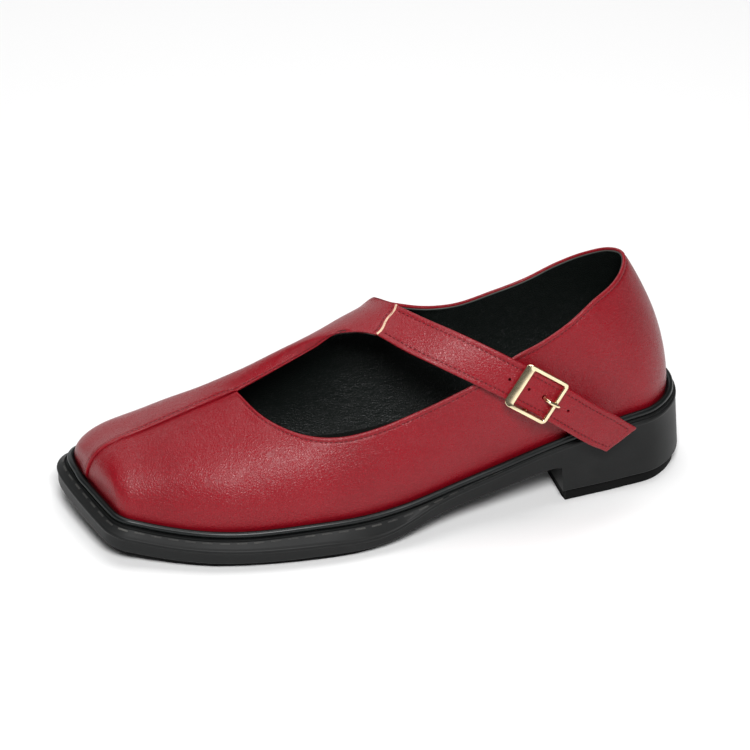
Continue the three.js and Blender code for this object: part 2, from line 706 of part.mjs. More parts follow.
function roundedRectangle(shape, left, bottom, right, top, radius) {
  shape.moveTo(left + radius, bottom);
  shape.lineTo(right - radius, bottom);
  shape.absarc(right - radius, bottom + radius, radius, -Math.PI / 2, 0);
  shape.lineTo(right, top - radius);
  shape.absarc(right - radius, top - radius, radius, 0, Math.PI / 2);
  shape.lineTo(left + radius, top);
  shape.absarc(left + radius, top - radius, radius, Math.PI / 2, Math.PI);
  shape.lineTo(left, bottom + radius);
  shape.absarc(left + radius, bottom + radius, radius, Math.PI, 1.5 * Math.PI);
  return shape;
}

function buckleFrame() {
  const [halfLong, halfWide] = [BUCKLE_LONG / 2, BUCKLE_WIDE / 2];
  const shape = roundedRectangle(new THREE.Shape(), -halfLong, -halfWide, halfLong, halfWide, 3);
  const window_ = roundedRectangle(
    new THREE.Path(),
    -halfLong + FRONT_BAR_WIDE,
    -halfWide + BAR_WIDE,
    halfLong - BAR_WIDE,
    halfWide - BAR_WIDE,
    1.4,
  );
  shape.holes.push(window_);
  const bevel = 0.35;
  const ring = new THREE.ExtrudeGeometry(shape, {
    depth: BUCKLE_THICK - 2 * bevel,
    bevelSize: bevel,
    bevelOffset: -bevel,
    bevelThickness: bevel,
    bevelSegments: 1,
    curveSegments: 4,
  }).translate(0, 0, FRAME_Z + bevel);
  let made = solid(ring);
  const lugHeight = FRAME_Z + 0.8 - (CENTRE_BAR_Z - PIN_RADIUS);
  for (const side of [-1, 1]) {
    const lug = new THREE.BoxGeometry(2.4, BAR_WIDE - 0.2, lugHeight);
    lug.translate(CENTRE_BAR_AT, side * (halfWide - BAR_WIDE / 2), FRAME_Z + 0.8 - lugHeight / 2);
    made = made.add(solid(lug));
  }
  const bar = new THREE.CylinderGeometry(PIN_RADIUS, PIN_RADIUS, BUCKLE_WIDE - BAR_WIDE, 12);
  made = made.add(solid(bar.translate(CENTRE_BAR_AT, 0, CENTRE_BAR_Z)));
  return geometryOf(made).applyMatrix4(buckleMatrix());
}

// The prong starts beside the centre bar, rises through the strap's hole and lies over the frame's bar
const PRONG_ROUTE = [
  { x: CENTRE_BAR_AT + 2 * PIN_RADIUS + GAP, z: CENTRE_BAR_Z },
  { x: HOLE_AT - 0.4, z: CENTRE_BAR_Z + 0.3 },
  { x: HOLE_AT, z: -0.9 },
  { x: HOLE_AT + 0.5, z: 1.2 },
  { x: HOLE_AT + 2.2, z: FRAME_Z + BUCKLE_THICK + GAP + PIN_RADIUS },
  { x: BUCKLE_LONG / 2 + 0.9, z: FRAME_Z + BUCKLE_THICK + GAP + PIN_RADIUS - 0.1 },
];

function buckleProng() {
  const route = new THREE.CatmullRomCurve3(PRONG_ROUTE.map(({ x, z }) => new THREE.Vector3(x, 0, z)));
  const round = new THREE.Shape().absarc(0, 0, PIN_RADIUS, 0, 2 * Math.PI);
  return new THREE.ExtrudeGeometry(round, { steps: 14, curveSegments: 8, extrudePath: route }).applyMatrix4(
    buckleMatrix(),
  );
}

function strapWithHole() {
  const drill = new THREE.CylinderGeometry(HOLE_RADIUS, HOLE_RADIUS, 8, 14)
    .rotateX(Math.PI / 2)
    .translate(HOLE_AT, 0, 0)
    .applyMatrix4(buckleMatrix());
  return geometryOf(solid(strap()).subtract(solid(drill)));
}

// A short leather tab on the quarter under the centre bar
function buckleChape() {
  const [long, wide, thick] = [18, 10, 1.3];
  const matrix = buckleMatrix();
  const steps = 6;
  const sections = Array.from({ length: steps + 1 }, (_, i) => {
    const x = CENTRE_BAR_AT + long * (i / steps - 0.6);
    const across = [-1, 0, 1].map((k) => {
      const aim = new THREE.Vector3(x, (k * wide) / 2, -5).applyMatrix4(matrix);
      return quarterAt(aim.x, aim.z);
    });
    const outer = across.map(({ at, out }) => at.clone().addScaledVector(out, GAP + thick));
    const inner = across.map(({ at, out }) => at.clone().addScaledVector(out, GAP)).reverse();
    return [...outer, ...inner];
  });
  return tube(sections);
}

// Materials
const red = new THREE.MeshStandardMaterial({ color: 0x9c0f1d, roughness: 0.42, metalness: 0 });
const black = new THREE.MeshStandardMaterial({ color: 0x16191a, roughness: 0.6, metalness: 0 });
const tread = new THREE.MeshStandardMaterial({ color: 0x1b1d1d, roughness: 0.75, metalness: 0 });
const lining = new THREE.MeshStandardMaterial({ color: 0x101414, roughness: 0.55, metalness: 0 });
const gold = new THREE.MeshStandardMaterial({ color: 0xe3c98c, roughness: 0.22, metalness: 1 });

const shoe = new THREE.Group();
const inFrame = new THREE.Group();
const pieces = [
  ["sole_unit", soleUnit(), black],
  ["forefoot_tread", forefootTread(), tread],
  ["heel_top_lift", heelTopLift(), tread],
  ["welt_bead", weltBead(), black],
  ["insole", insole(), lining],
  ["upper", upper(), red],
  ["strap", strapWithHole(), red],
  ["buckle_chape", buckleChape(), red],
  ["buckle_frame", buckleFrame(), gold],
  ["buckle_prong", buckleProng(), gold],
];
for (const [name, geometry, material] of pieces) {
  const mesh = new THREE.Mesh(geometry, material);
  mesh.name = name;
  inFrame.add(mesh);
}

// The origin is the middle of the shoe's box, on the floor
const box = new THREE.Box3().setFromObject(inFrame);
const middle = box.getCenter(new THREE.Vector3());
inFrame.position.set(-middle.x, -middle.y, 0);
shoe.add(inFrame);

export default shoe;
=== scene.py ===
"""Looks of a square-toed mary jane shoe for the left foot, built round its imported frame.

Blender works in metres. The shoe's own sizes are in millimetres, with x from the back of the heel to the toe,
y positive on the lateral side and z = 0 on the floor; placed() turns them into the frame's metres.
Round the shoe, a place is a number from -1 to 1: 0 is the back of the heel, the sign is positive on the
lateral side, and both 1 and -1 are the toe end of the centre seam.
"""

import logging
import math
from dataclasses import dataclass, field
from enum import Enum
from typing import Callable

import bpy
import numpy as np
from mathutils import Matrix, Vector


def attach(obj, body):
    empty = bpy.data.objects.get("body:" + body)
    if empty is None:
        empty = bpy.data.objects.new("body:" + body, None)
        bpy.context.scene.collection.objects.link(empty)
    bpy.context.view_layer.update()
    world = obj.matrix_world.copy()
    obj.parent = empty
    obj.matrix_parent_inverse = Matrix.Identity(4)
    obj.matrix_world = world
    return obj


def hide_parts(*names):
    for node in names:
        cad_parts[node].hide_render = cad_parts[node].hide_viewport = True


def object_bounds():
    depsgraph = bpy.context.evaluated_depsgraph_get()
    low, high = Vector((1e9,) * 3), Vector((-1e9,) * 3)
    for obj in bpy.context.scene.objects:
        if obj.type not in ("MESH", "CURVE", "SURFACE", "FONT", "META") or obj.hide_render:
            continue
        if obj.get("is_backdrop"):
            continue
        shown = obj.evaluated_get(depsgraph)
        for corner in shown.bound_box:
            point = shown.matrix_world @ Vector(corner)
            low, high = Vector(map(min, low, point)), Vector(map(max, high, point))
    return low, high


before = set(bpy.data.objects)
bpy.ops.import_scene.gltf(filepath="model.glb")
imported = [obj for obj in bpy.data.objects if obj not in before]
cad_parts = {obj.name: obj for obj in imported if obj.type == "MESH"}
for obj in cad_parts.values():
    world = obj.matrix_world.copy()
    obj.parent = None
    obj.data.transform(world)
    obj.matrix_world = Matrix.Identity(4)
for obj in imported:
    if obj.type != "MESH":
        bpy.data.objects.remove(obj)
CAD_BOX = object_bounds()

MM = 0.001
BODY = "root"
LOG = logging.getLogger("shoe")
Array = np.ndarray
Colour = tuple[float, float, float]
Height = Callable[[Array], Array]

# The shoe's own zero, the back of the heel on the floor, in the frame
ORIGIN = np.array([-127.245, 0.352, 0.0])


class Slot(Enum):
    """Names of material slots."""

    UPPER = "upper_leather"
    LINING = "sock_lining"
    SOLE = "moulded_sole"
    BEAD = "welt_bead"
    METAL = "buckle_metal"
    TREAD = "tread_rubber"


class Table:
    """A short table of rows with named columns, read on a smooth curve between its rows."""

    def __init__(self, columns: str, rows: list[tuple[float, ...]]) -> None:
        """Keeps the rows; the first value of each is its place."""
        self.columns = columns.split()
        self.values = np.array(rows, float)

    def read(self, column: str, place: Array) -> Array:
        """Values of one column at the given places.

        Args:
            column: the column's name.
            place: places of any shape; beyond the table its end value holds.

        Returns:
            Values of the same shape.
        """
        at = self.values[:, 0]
        value = self.values[:, 1 + self.columns.index(column)]
        run = np.diff(at)
        steep = np.diff(value) / run
        slope = np.concatenate([steep[:1], np.zeros(len(at) - 2), steep[-1:]])
        slope[1:-1] = (steep[:-1] * run[1:] + steep[1:] * run[:-1]) / (run[:-1] + run[1:])
        place = np.asarray(place, float)
        i = np.clip(np.searchsorted(at[1:-1], place), 0, len(at) - 2)
        t = np.clip((place - at[i]) / run[i], 0, 1)
        s = 1 - t
        ends = value[i] * s * s * (1 + 2 * t) + value[i + 1] * t * t * (3 - 2 * t)
        return ends + run[i] * t * s * (slope[i] * s - slope[i + 1] * t)

    def point(self, place: Array, prefix: str = "") -> Array:
        """Points from the columns x, y and z, which may carry a prefix."""
        return np.stack([self.read(prefix + c, place) for c in "xyz"], -1)


RIM_LATERAL = [(62, 31.5), (100, 37.5), (130, 43.6), (160, 45.4), (205, 38.2)]
RIM_MEDIAL = [(212, -46), (180, -44), (140, -33), (100, -25), (62, -27)]

# Toe corners of the rim: centre x and y, radius, and the directions where each arc starts and ends
TOE_LATERAL = (231.8, 8.5, 17, 75, 10)
TOE_MEDIAL = (238, -27.6, 18, 5, -78)

# Heights along the sole, as the part's source has them
SOLE_LEVELS = Table(
    "seat crease bottom ledge",
    [
        (0, 32.2, 30.8, 18.6, 4.5),
        (30, 31, 29.6, 18.4, 4.3),
        (60, 27, 26.2, 17.4, 4),
        (90, 22, 20.8, 13.4, 4),
        (115, 17.2, 16.2, 9.8, 5.6),
        (137, 13.6, 8.8, 3.8, 7.4),
        (165, 12.5, 8.9, 3.2, 8.4),
        (200, 12, 9.1, 2.9, 7.6),
        (230, 14.3, 11.1, 4.5, 7.6),
        (256, 20.4, 16, 8.9, 7.6),
    ],
)
TREAD_LEVELS = Table(
    "floor",
    [(112, 8.3), (126, 4.6), (140, 1.2), (150, 0), (178, 0), (208, 0), (230, 1.6), (256, 6)],
)
COLLAR = Table(
    "x y z",
    [
        (-0.51, 119.7, -1, 87.4),
        (-0.495, 122, -6.5, 86),
        (-0.48, 124, -12, 84.5),
        (-0.463, 124.5, -16, 82.5),
        (-0.44, 121, -18.5, 79),
        (-0.415, 112, -19, 75.3),
        (-0.385, 103.2, -19, 73.1),
        (-0.34, 89.8, -20, 71.4),
        (-0.28, 72.5, -22, 73.3),
        (-0.215, 58.3, -21.6, 77.2),
        (-0.155, 45.8, -20, 83.2),
        (-0.1, 35.6, -16, 88.6),
        (-0.05, 27.4, -9, 93.6),
        (0, 24, 0, 96),
        (0.05, 26.6, 8, 94),
        (0.1, 33.4, 15, 91),
        (0.15, 43.6, 20.5, 87.8),
        (0.2, 55, 24, 81.2),
        (0.25, 67.2, 27, 76.4),
        (0.3, 80, 29.5, 72.8),
        (0.345, 93, 30.5, 65.3),
        (0.385, 105.9, 31, 60.5),
        (0.44, 121.9, 31, 55),
        (0.495, 137.9, 31, 50.8),
        (0.55, 152.5, 29, 48.4),
        (0.61, 166.3, 23.5, 49),
        (0.655, 174.8, 16, 50.7),
        (0.695, 180.9, 8, 53.2),
        (0.735, 185.6, -5.5, 55.5),
    ],
)
CUT_OUT = Table(
    "x y z",
    [
        (-0.735, 185.6, -5.5, 55.5),
        (-0.695, 169, -4, 63.7),
        (-0.65, 152.9, -2, 72.4),
        (-0.615, 145, 1, 79),
        (-0.585, 137.6, 5, 80.8),
        (-0.555, 131.2, 9, 80.9),
    ],
)
SEAM_ROWS = [
    (0.735, 185.6, -5.5, 55.5),
    (0.79, 201.2, -7.5, 49.5),
    (0.855, 223.2, -8, 42.4),
    (0.905, 238, -8.3, 38.2),
    (0.945, 244.5, -9, 32.8),
    (0.975, 247, -10.2, 26),
]
WALL_FORM = Table(
    "flare rise drop crown",
    [
        (-1, 6, 0.4, 55, 0.36),
        (-0.945, 6, 0.44, 58, 0.34),
        (-0.905, 6, 0.42, 64, 0.37),
        (-0.855, 6, 0.4, 85, 0.44),
        (-0.79, 7, 0.4, 87, 0.44),
        (-0.735, 8, 0.4, 89, 0.41),
        (-0.69, 10, 0.4, 91, 0.38),
        (-0.62, 14, 0.38, 93, 0.34),
        (-0.585, 15, 0.38, 98, 0.34),
        (-0.555, 16, 0.38, 104, 0.36),
        (-0.51, 16, 0.38, 92, 0.36),
        (-0.48, 16, 0.36, 72, 0.33),
        (-0.44, 16, 0.34, 36, 0.3),
        (-0.34, 14, 0.33, 13, 0.3),
        (-0.2, 11, 0.33, 14, 0.3),
        (-0.1, 7, 0.33, 26, 0.3),
        (0, 4, 0.32, 30, 0.33),
        (0.1, 7, 0.33, 26, 0.3),
        (0.2, 11, 0.33, 14, 0.3),
        (0.31, 13, 0.33, 10, 0.3),
        (0.44, 13, 0.33, 18, 0.33),
        (0.55, 12, 0.36, 34, 0.36),
        (0.655, 10, 0.4, 60, 0.4),
        (0.735, 8, 0.42, 72, 0.42),
        (0.79, 6, 0.42, 78, 0.44),
        (0.855, 5, 0.42, 82, 0.46),
        (0.905, 5, 0.46, 82, 0.5),
        (0.945, 6, 0.5, 76, 0.5),
        (1, 6, 0.4, 60, 0.4),
    ],
)

# The medial side of the vamp heads for these points on its way down
INSTEP = Table(
    "x y z",
    [
        (-0.79, 210, -28, 48.5),
        (-0.735, 202.5, -21.5, 55.5),
        (-0.69, 195, -15.5, 61.5),
        (-0.645, 186.5, -11, 68.5),
        (-0.6, 174, -11, 76),
        (-0.555, 159.5, -17, 87),
        (-0.51, 144.5, -30.5, 79.5),
        (-0.465, 128, -33.5, 73.5),
        (-0.42, 106, -31.5, 69),
        (-0.33, 86, -23, 58),
    ],
)

# Outer face of the strap: its upper edge u and its lower edge l, from the joint to the free end
STRAP = Table(
    "ux uy uz lx ly lz",
    [
        (0, 119.7, -1, 87.4, 131.2, 9, 80.9),
        (1, 111.6, 10, 86.5, 122.3, 19, 77.2),
        (2, 101.8, 20, 84, 111.6, 27, 73),
        (3, 91.2, 27.8, 79.9, 100.2, 32.6, 67),
        (4, 80, 33.6, 74.2, 88.3, 36.6, 59.8),
        (5, 68.6, 36.6, 66.9, 76.6, 38.6, 51.8),
        (6, 56.8, 38.4, 58, 65, 39.6, 43),
        (7, 47.6, 38.6, 50.2, 56.2, 39.4, 35.6),
        (8, 38.4, 38, 42, 48.6, 38.8, 30.4),
        (9, 28.6, 36.6, 33.6, 42.2, 38, 25.6),
    ],
)

THROAT = 0.735
JOINT_UPPER = -0.51
JOINT_LOWER = -0.555
TOE_END = 0.9985


def ease(t: Array) -> Array:
    """Smooth step from 0 to 1."""
    t = np.clip(t, 0, 1)
    return t * t * (3 - 2 * t)


def unit(v: Array) -> Array:
    """Vectors brought to length one."""
    return v / np.maximum(np.linalg.norm(v, axis=-1, keepdims=True), 1e-12)


def bump_at(x: Array, middle: float, width: float) -> Array:
    """A soft hump of height one round a middle."""
    return np.exp(-(((x - middle) / width) ** 2))


def placed(points: Array) -> Array:
    """Points of the shoe, in millimetres, as points of the frame, in metres."""
    return (np.asarray(points, float) + ORIGIN) * MM


def stretches(marks: list[float], counts: list[int]) -> Array:
    """Places from mark to mark, each stretch cut into its own number of equal steps."""
    parts = [np.linspace(a, b, n, endpoint=False) for a, b, n in zip(marks, marks[1:], counts)]
    return np.concatenate([*parts, marks[-1:]])


def resample(line: Array, pitch: float, closed: bool = False) -> Array:
    """Fractional positions along a line at an even distance.

    Args:
        line: points (n, 3).
        pitch: wanted distance, rounded so that whole steps fit.
        closed: whether the line runs back to its first point.

    Returns:
        Positions, as fractional row numbers of the line.
    """
    rows = np.concatenate([line, line[:1]]) if closed else line
    run = np.concatenate([[0], np.cumsum(np.linalg.norm(np.diff(rows, axis=0), axis=1))])
    count = max(int(round(run[-1] / pitch)), 1)
    marks = (np.arange(count) + 0.5) * run[-1] / count
    return np.interp(marks, run, np.arange(len(rows)))


def taken(values: Array, at: Array) -> Array:
    """Rows of values at fractional positions."""
    i = np.clip(np.floor(at).astype(int), 0, len(values) - 1)
    j = np.minimum(i + 1, len(values) - 1)
    w = (at - i)[:, None]
    return values[i] * (1 - w) + values[j] * w


@dataclass
class Last:
    """Form of the shoe: the sole's rim seen from above, its heights, and the wall of the upper."""

    heel_radius: float = 28.6
    toe_seam_y: float = -12
    gap: float = 0.3
    steps: int = 1600
    over_strap: tuple[float, float, float] = (-0.6, 0.75, -0.25)
    rim: Array = field(init=False)
    toe: int = field(init=False)
    seam: Table = field(init=False)

    def __post_init__(self) -> None:
        """Works out the rim, the index of its toe end and the whole centre seam."""
        self.rim = self.make_rim()
        past = (self.rim[:, 0] > 236) & (self.rim[:, 1] < self.toe_seam_y)
        self.toe = int(np.argmax(past))
        self.seam = Table("x y z", [*SEAM_ROWS, (1, *self.foot(np.array(1.0)))])

    def make_rim(self) -> Array:
        """Points of the rim at even distances, anticlockwise from the back of the heel."""

        def arc(x: float, y: float, radius: float, start: float, end: float) -> Array:
            """Four points of a toe or heel arc, directions in degrees."""
            angle = np.radians(np.linspace(start, end, 4))
            return np.stack([x + radius * np.cos(angle), y + radius * np.sin(angle)], -1)

        r = self.heel_radius
        knots = np.concatenate(
            [
                arc(r, 0, r, 180, 85),
                RIM_LATERAL,
                arc(*TOE_LATERAL),
                arc(*TOE_MEDIAL),
                RIM_MEDIAL,
                arc(r, 0, r, 275, 212),
            ]
        )
        p = [np.roll(knots, shift, axis=0) for shift in (1, 0, -1, -2)]
        d = [np.linalg.norm(b - a, axis=1, keepdims=True) ** 0.5 for a, b in zip(p, p[1:])]
        leave = ((p[1] - p[0]) / d[0] - (p[2] - p[0]) / (d[0] + d[1]) + (p[2] - p[1]) / d[1]) * d[1]
        reach = ((p[2] - p[1]) / d[1] - (p[3] - p[1]) / (d[1] + d[2]) + (p[3] - p[2]) / d[2]) * d[1]
        t = np.linspace(0, 1, 400, endpoint=False)[None, :, None]
        line = (
            p[1][:, None] * (2 * t**3 - 3 * t**2 + 1)
            + leave[:, None] * (t**3 - 2 * t**2 + t)
            + p[2][:, None] * (3 * t**2 - 2 * t**3)
            + reach[:, None] * (t**3 - t**2)
        ).reshape(-1, 2)
        line = np.concatenate([line, line[:1]])
        run = np.concatenate([[0], np.cumsum(np.linalg.norm(np.diff(line, axis=0), axis=1))])
        even = np.linspace(0, run[-1], self.steps + 1)[:-1]
        return np.stack([np.interp(even, run, line[:, k]) for k in (0, 1)], -1)

    def rim_index(self, place: Array) -> Array:
        """Fractional index round the rim of a place."""
        place = np.asarray(place, float)
        return np.where(place >= 0, place * self.toe, self.steps + place * (self.steps - self.toe))

    def outward(self, place: Array) -> Array:
        """Level direction that points out of the rim."""
        i = np.round(self.rim_index(place)).astype(int)
        run = unit(self.rim[(i + 8) % self.steps] - self.rim[(i - 8) % self.steps])
        return np.stack([-run[..., 1], run[..., 0], np.zeros(run.shape[:-1])], -1)

    def plan(self, place: Array, inset: Array | float) -> Array:
        """Points of the rim at floor height, moved in by a distance."""
        index = self.rim_index(place)
        low = np.floor(index).astype(int)
        share = (index - low)[..., None]
        at = self.rim[low % self.steps] * (1 - share) + self.rim[(low + 1) % self.steps] * share
        at = np.concatenate([at, np.zeros(at.shape[:-1] + (1,))], -1)
        return at - self.outward(place) * np.asarray(inset, float)[..., None]

    def place_at(self, side: int, x: float) -> float:
        """Place on one side where the rim first reaches an x, looking from the heel."""
        tried = side * np.arange(1, 4000) / 4000
        return float(tried[np.argmax(self.plan(tried, 0.0)[..., 0] >= x)])

    def level(self, column: str, x: Array) -> Array:
        """One of the sole's heights at an x."""
        return SOLE_LEVELS.read(column, x)

    def ledge(self, place: Array) -> Array:
        """Distance of the upper's foot from the rim."""
        return self.level("ledge", self.plan(place, 0.0)[..., 0])

    def foot(self, place: Array) -> Array:
        """Foot of the upper, on the sole."""
        at = self.plan(place, self.ledge(place))
        at[..., 2] = self.level("seat", at[..., 0]) + self.gap
        return at

    def top(self, place: Array) -> Array:
        """Top edge of the upper, with the centre seam between the throat and the toe."""
        place = np.asarray(place, float)
        share = ((place - JOINT_LOWER) / (JOINT_UPPER - JOINT_LOWER))[..., None]
        joint = CUT_OUT.point(JOINT_LOWER) * (1 - share) + COLLAR.point(JOINT_UPPER) * share
        turn = np.pi * np.clip(share, 0, 1)
        joint = joint + (0.62 * np.sin(turn) + 0.38 * np.sin(3 * turn)) * self.over_strap
        at = np.where((place >= JOINT_UPPER)[..., None], COLLAR.point(place), joint)
        at = np.where((place <= JOINT_LOWER)[..., None], CUT_OUT.point(place), at)
        return np.where((np.abs(place) >= THROAT)[..., None], self.seam.point(np.abs(place)), at)

    def wall(self, place: Array, up: Array) -> Array:
        """Outer face of the upper, before any relief.

        Args:
            place: places round the shoe.
            up: shares of the way up, that broadcast with the places.

        Returns:
            Points in millimetres.
        """
        foot, top = self.foot(place), self.top(place)
        reach = np.linalg.norm(foot - top, axis=-1)
        out = self.outward(place)
        away = (foot - top) * [1, 1, 0] + out * (0.25 * (top - foot)[..., 2:])
        away = unit(away)
        flare = np.radians(WALL_FORM.read("flare", place))
        drop = np.radians(WALL_FORM.read("drop", place))
        rise = (WALL_FORM.read("rise", place) * reach)[..., None]
        crown = (WALL_FORM.read("crown", place) * reach)[..., None]
        up_axis = np.array([0.0, 0.0, 1.0])
        low = foot + rise * (out * np.sin(flare)[..., None] + up_axis * np.cos(flare)[..., None])
        high = top + crown * (away * np.sin(drop)[..., None] - up_axis * np.cos(drop)[..., None])
        at = INSTEP.values[:, 0]
        share = ease((place - at[0]) / (at[1] - at[0])) * ease((at[-1] - place) / (at[-1] - at[-2]))
        high = high + (INSTEP.point(place) - high) * share[..., None]
        u = np.asarray(up, float)[..., None]
        v = 1 - u
        return foot * v**3 + low * (3 * v * v * u) + high * (3 * v * u * u) + top * u**3

    def measured(self, place: Array) -> tuple[Array, Array]:
        """Shares of the way up and their distances below the top edge, for each place."""
        up = np.linspace(1, 0, 221)
        line = self.wall(place[:, None], up)
        run = np.cumsum(np.linalg.norm(np.diff(line, axis=1), axis=-1), axis=1)
        return up, np.concatenate([np.zeros((len(place), 1)), run], axis=1)

    def up_at(self, place: Array, depth: Array) -> Array:
        """Shares of the way up at distances below the top edge.

        Args:
            place: places (n,).
            depth: distances (n, m) in millimetres.

        Returns:
            Shares (n, m).
        """
        up, run = self.measured(place)
        return np.stack([np.interp(d, r, up) for d, r in zip(depth, run)])

    def height(self, place: Array) -> Array:
        """Length of the wall from its top edge to the sole."""
        return self.measured(place)[1][:, -1]

    def normal(self, place: Array, up: Array) -> Array:
        """Direction that points out of the wall."""
        place, up = np.broadcast_arrays(np.asarray(place, float), np.asarray(up, float))
        near, close = 0.0012, 0.004
        along = self.wall(place + near, up) - self.wall(place - near, up)
        down = self.wall(place, np.maximum(up - close, 0)) - self.wall(place, np.minimum(up + close, 1))
        return unit(np.cross(along, down))


def surface(name: str, points: Array) -> bpy.types.Object:
    """A mesh from a grid of points; rows or columns that meet are joined.

    Args:
        name: the piece's name.
        points: (rows, columns, 3) in millimetres; it faces along columns x rows.

    Returns:
        The new object, at the origin.
    """
    rows, columns = points.shape[:2]
    bpy.ops.object.select_all(action="DESELECT")
    bpy.ops.mesh.primitive_grid_add(x_subdivisions=columns - 1, y_subdivisions=rows - 1, size=1)
    made = bpy.context.object
    made.name = made.data.name = name
    made.data.vertices.foreach_set("co", placed(points).ravel())
    made.data.update()
    merge(made)
    return made


def merge(made: bpy.types.Object, distance: float = 0.002) -> None:
    """Joins a mesh's points that lie together, in millimetres, and removes faces without area."""
    bpy.context.view_layer.objects.active = made
    bpy.ops.object.mode_set(mode="EDIT")
    bpy.ops.mesh.select_all(action="SELECT")
    bpy.ops.mesh.remove_doubles(threshold=distance * MM)
    bpy.ops.mesh.dissolve_degenerate(threshold=distance * MM / 4)
    bpy.ops.object.mode_set(mode="OBJECT")


def smoothed(made: bpy.types.Object, angle: float = 45) -> bpy.types.Object:
    """Shades a mesh smoothly where its faces turn by less than an angle in degrees."""
    bpy.ops.object.select_all(action="DESELECT")
    made.select_set(True)
    bpy.context.view_layer.objects.active = made
    bpy.ops.object.shade_smooth_by_angle(angle=math.radians(angle))
    return made


def tube(name: str, loops: Array) -> bpy.types.Object:
    """A closed solid through loops of points, with both ends capped.

    Args:
        name: the piece's name.
        loops: (sections, points, 3) in millimetres, each loop clockwise seen from ahead.

    Returns:
        The new object.
    """
    closed = np.concatenate([loops, loops[:, :1]], axis=1)
    first, last = (np.repeat(loops[k].mean(0)[None], closed.shape[1], axis=0)[None] for k in (0, -1))
    return surface(name, np.concatenate([first, closed, last], axis=0))


def join(name: str, parts: list[bpy.types.Object]) -> bpy.types.Object:
    """Several objects as one."""
    bpy.ops.object.select_all(action="DESELECT")
    for part in parts:
        part.select_set(True)
    bpy.context.view_layer.objects.active = parts[0]
    if len(parts) > 1:
        bpy.ops.object.join()
    made = bpy.context.object
    made.name = made.data.name = name
    return made


def apply_modifiers(made: bpy.types.Object) -> None:
    """Applies every modifier of a piece in order."""
    bpy.ops.object.select_all(action="DESELECT")
    made.select_set(True)
    bpy.context.view_layer.objects.active = made
    for modifier in list(made.modifiers):
        bpy.ops.object.modifier_apply(modifier=modifier.name)


def bevelled(
    made: bpy.types.Object, width: float, segments: int, sharp: float = 30.0
) -> bpy.types.Object:
    """Rounds the edges that are sharper than an angle in degrees; the width is in millimetres."""
    bevel = made.modifiers.new("edge", "BEVEL")
    bevel.width = width * MM
    bevel.segments = segments
    bevel.limit_method = "ANGLE"
    bevel.angle_limit = math.radians(sharp)
    apply_modifiers(made)
    return made


def settle(made: bpy.types.Object, matrix: Matrix) -> bpy.types.Object:
    """Puts a piece in its place and brings that into its mesh."""
    made.matrix_world = matrix
    bpy.ops.object.select_all(action="DESELECT")
    made.select_set(True)
    bpy.context.view_layer.objects.active = made
    bpy.ops.object.transform_apply(location=True, rotation=True, scale=True)
    return made


def copies(name: str, pattern: bpy.types.Object, frames: Array) -> bpy.types.Object:
    """One mesh from a small pattern repeated at many frames.

    Args:
        name: the piece's name.
        pattern: a mesh modelled at the origin in millimetres; it is used up.
        frames: (n, 4, 3): the pattern's x, y and z directions with their scale, and its place.

    Returns:
        The new object.
    """
    count = len(pattern.data.vertices)
    shape = np.empty(count * 3)
    pattern.data.vertices.foreach_get("co", shape)
    shape = shape.reshape(-1, 3)
    faces = [tuple(p.vertices) for p in pattern.data.polygons]
    points = np.einsum("vk,nkc->nvc", shape, frames[:, :3]) + frames[:, 3:4]
    mesh = bpy.data.meshes.new(name)
    every = [tuple(v + i * count for v in f) for i in range(len(frames)) for f in faces]
    mesh.from_pydata(placed(points).reshape(-1, 3), [], every)
    mesh.update()
    made = bpy.data.objects.new(name, mesh)
    bpy.context.scene.collection.objects.link(made)
    bpy.data.objects.remove(pattern)
    return smoothed(made, 60)


def along_line(line: Array, normals: Array, pitch: float, size: Colour, closed: bool = False) -> Array:
    """Frames at even distances along a line, for copies().

    Args:
        line: points (n, 3).
        normals: the surface's directions there.
        pitch: distance between two copies.
        size: length along the line, width across it and height.
        closed: whether the line runs back to its first point.

    Returns:
        Frames (count, 4, 3).
    """
    at = resample(line, pitch, closed)
    if closed:
        line, normals = (np.concatenate([v, v[:1]]) for v in (line, normals))
    tangents = np.gradient(line, axis=0)
    place, run, up = taken(line, at), unit(taken(tangents, at)), unit(taken(normals, at))
    side = unit(np.cross(up, run))
    up = np.cross(run, side)
    return np.stack([run * size[0], side * size[1], up * size[2], place], axis=1)


def stitches(
    name: str, line: Array, normals: Array, pitch: float, size: Colour, seed: int
) -> bpy.types.Object:
    """A row of sewn stitches that lie on a surface, each a little uneven.

    Args:
        name: the piece's name.
        line: points (n, 3) that the row follows.
        normals: the surface's directions there.
        pitch: distance between two stitches.
        size: length, width and height of a stitch.
        seed: start of the unevenness.

    Returns:
        The row as one mesh.
    """
    bpy.ops.object.select_all(action="DESELECT")
    bpy.ops.mesh.primitive_uv_sphere_add(segments=8, ring_count=6, radius=0.5)
    pattern = bpy.context.object
    shape = np.empty(len(pattern.data.vertices) * 3)
    pattern.data.vertices.foreach_get("co", shape)
    shape = shape.reshape(-1, 3)[:, [2, 0, 1]]
    shape[:, 0] = np.sign(shape[:, 0]) * np.abs(2 * shape[:, 0]) ** 0.6 / 2
    pattern.data.vertices.foreach_set("co", shape.ravel())
    frames = along_line(line, normals, pitch, size)
    uneven = np.random.default_rng(seed).uniform(-1, 1, (len(frames), 3))
    frames[:, 0] += frames[:, 1] * uneven[:, :1] * 0.16 + frames[:, 2] * uneven[:, 1:2] * 0.12
    frames[:, 0] *= 1 + 0.06 * uneven[:, 2:]
    return copies(name, pattern, frames)


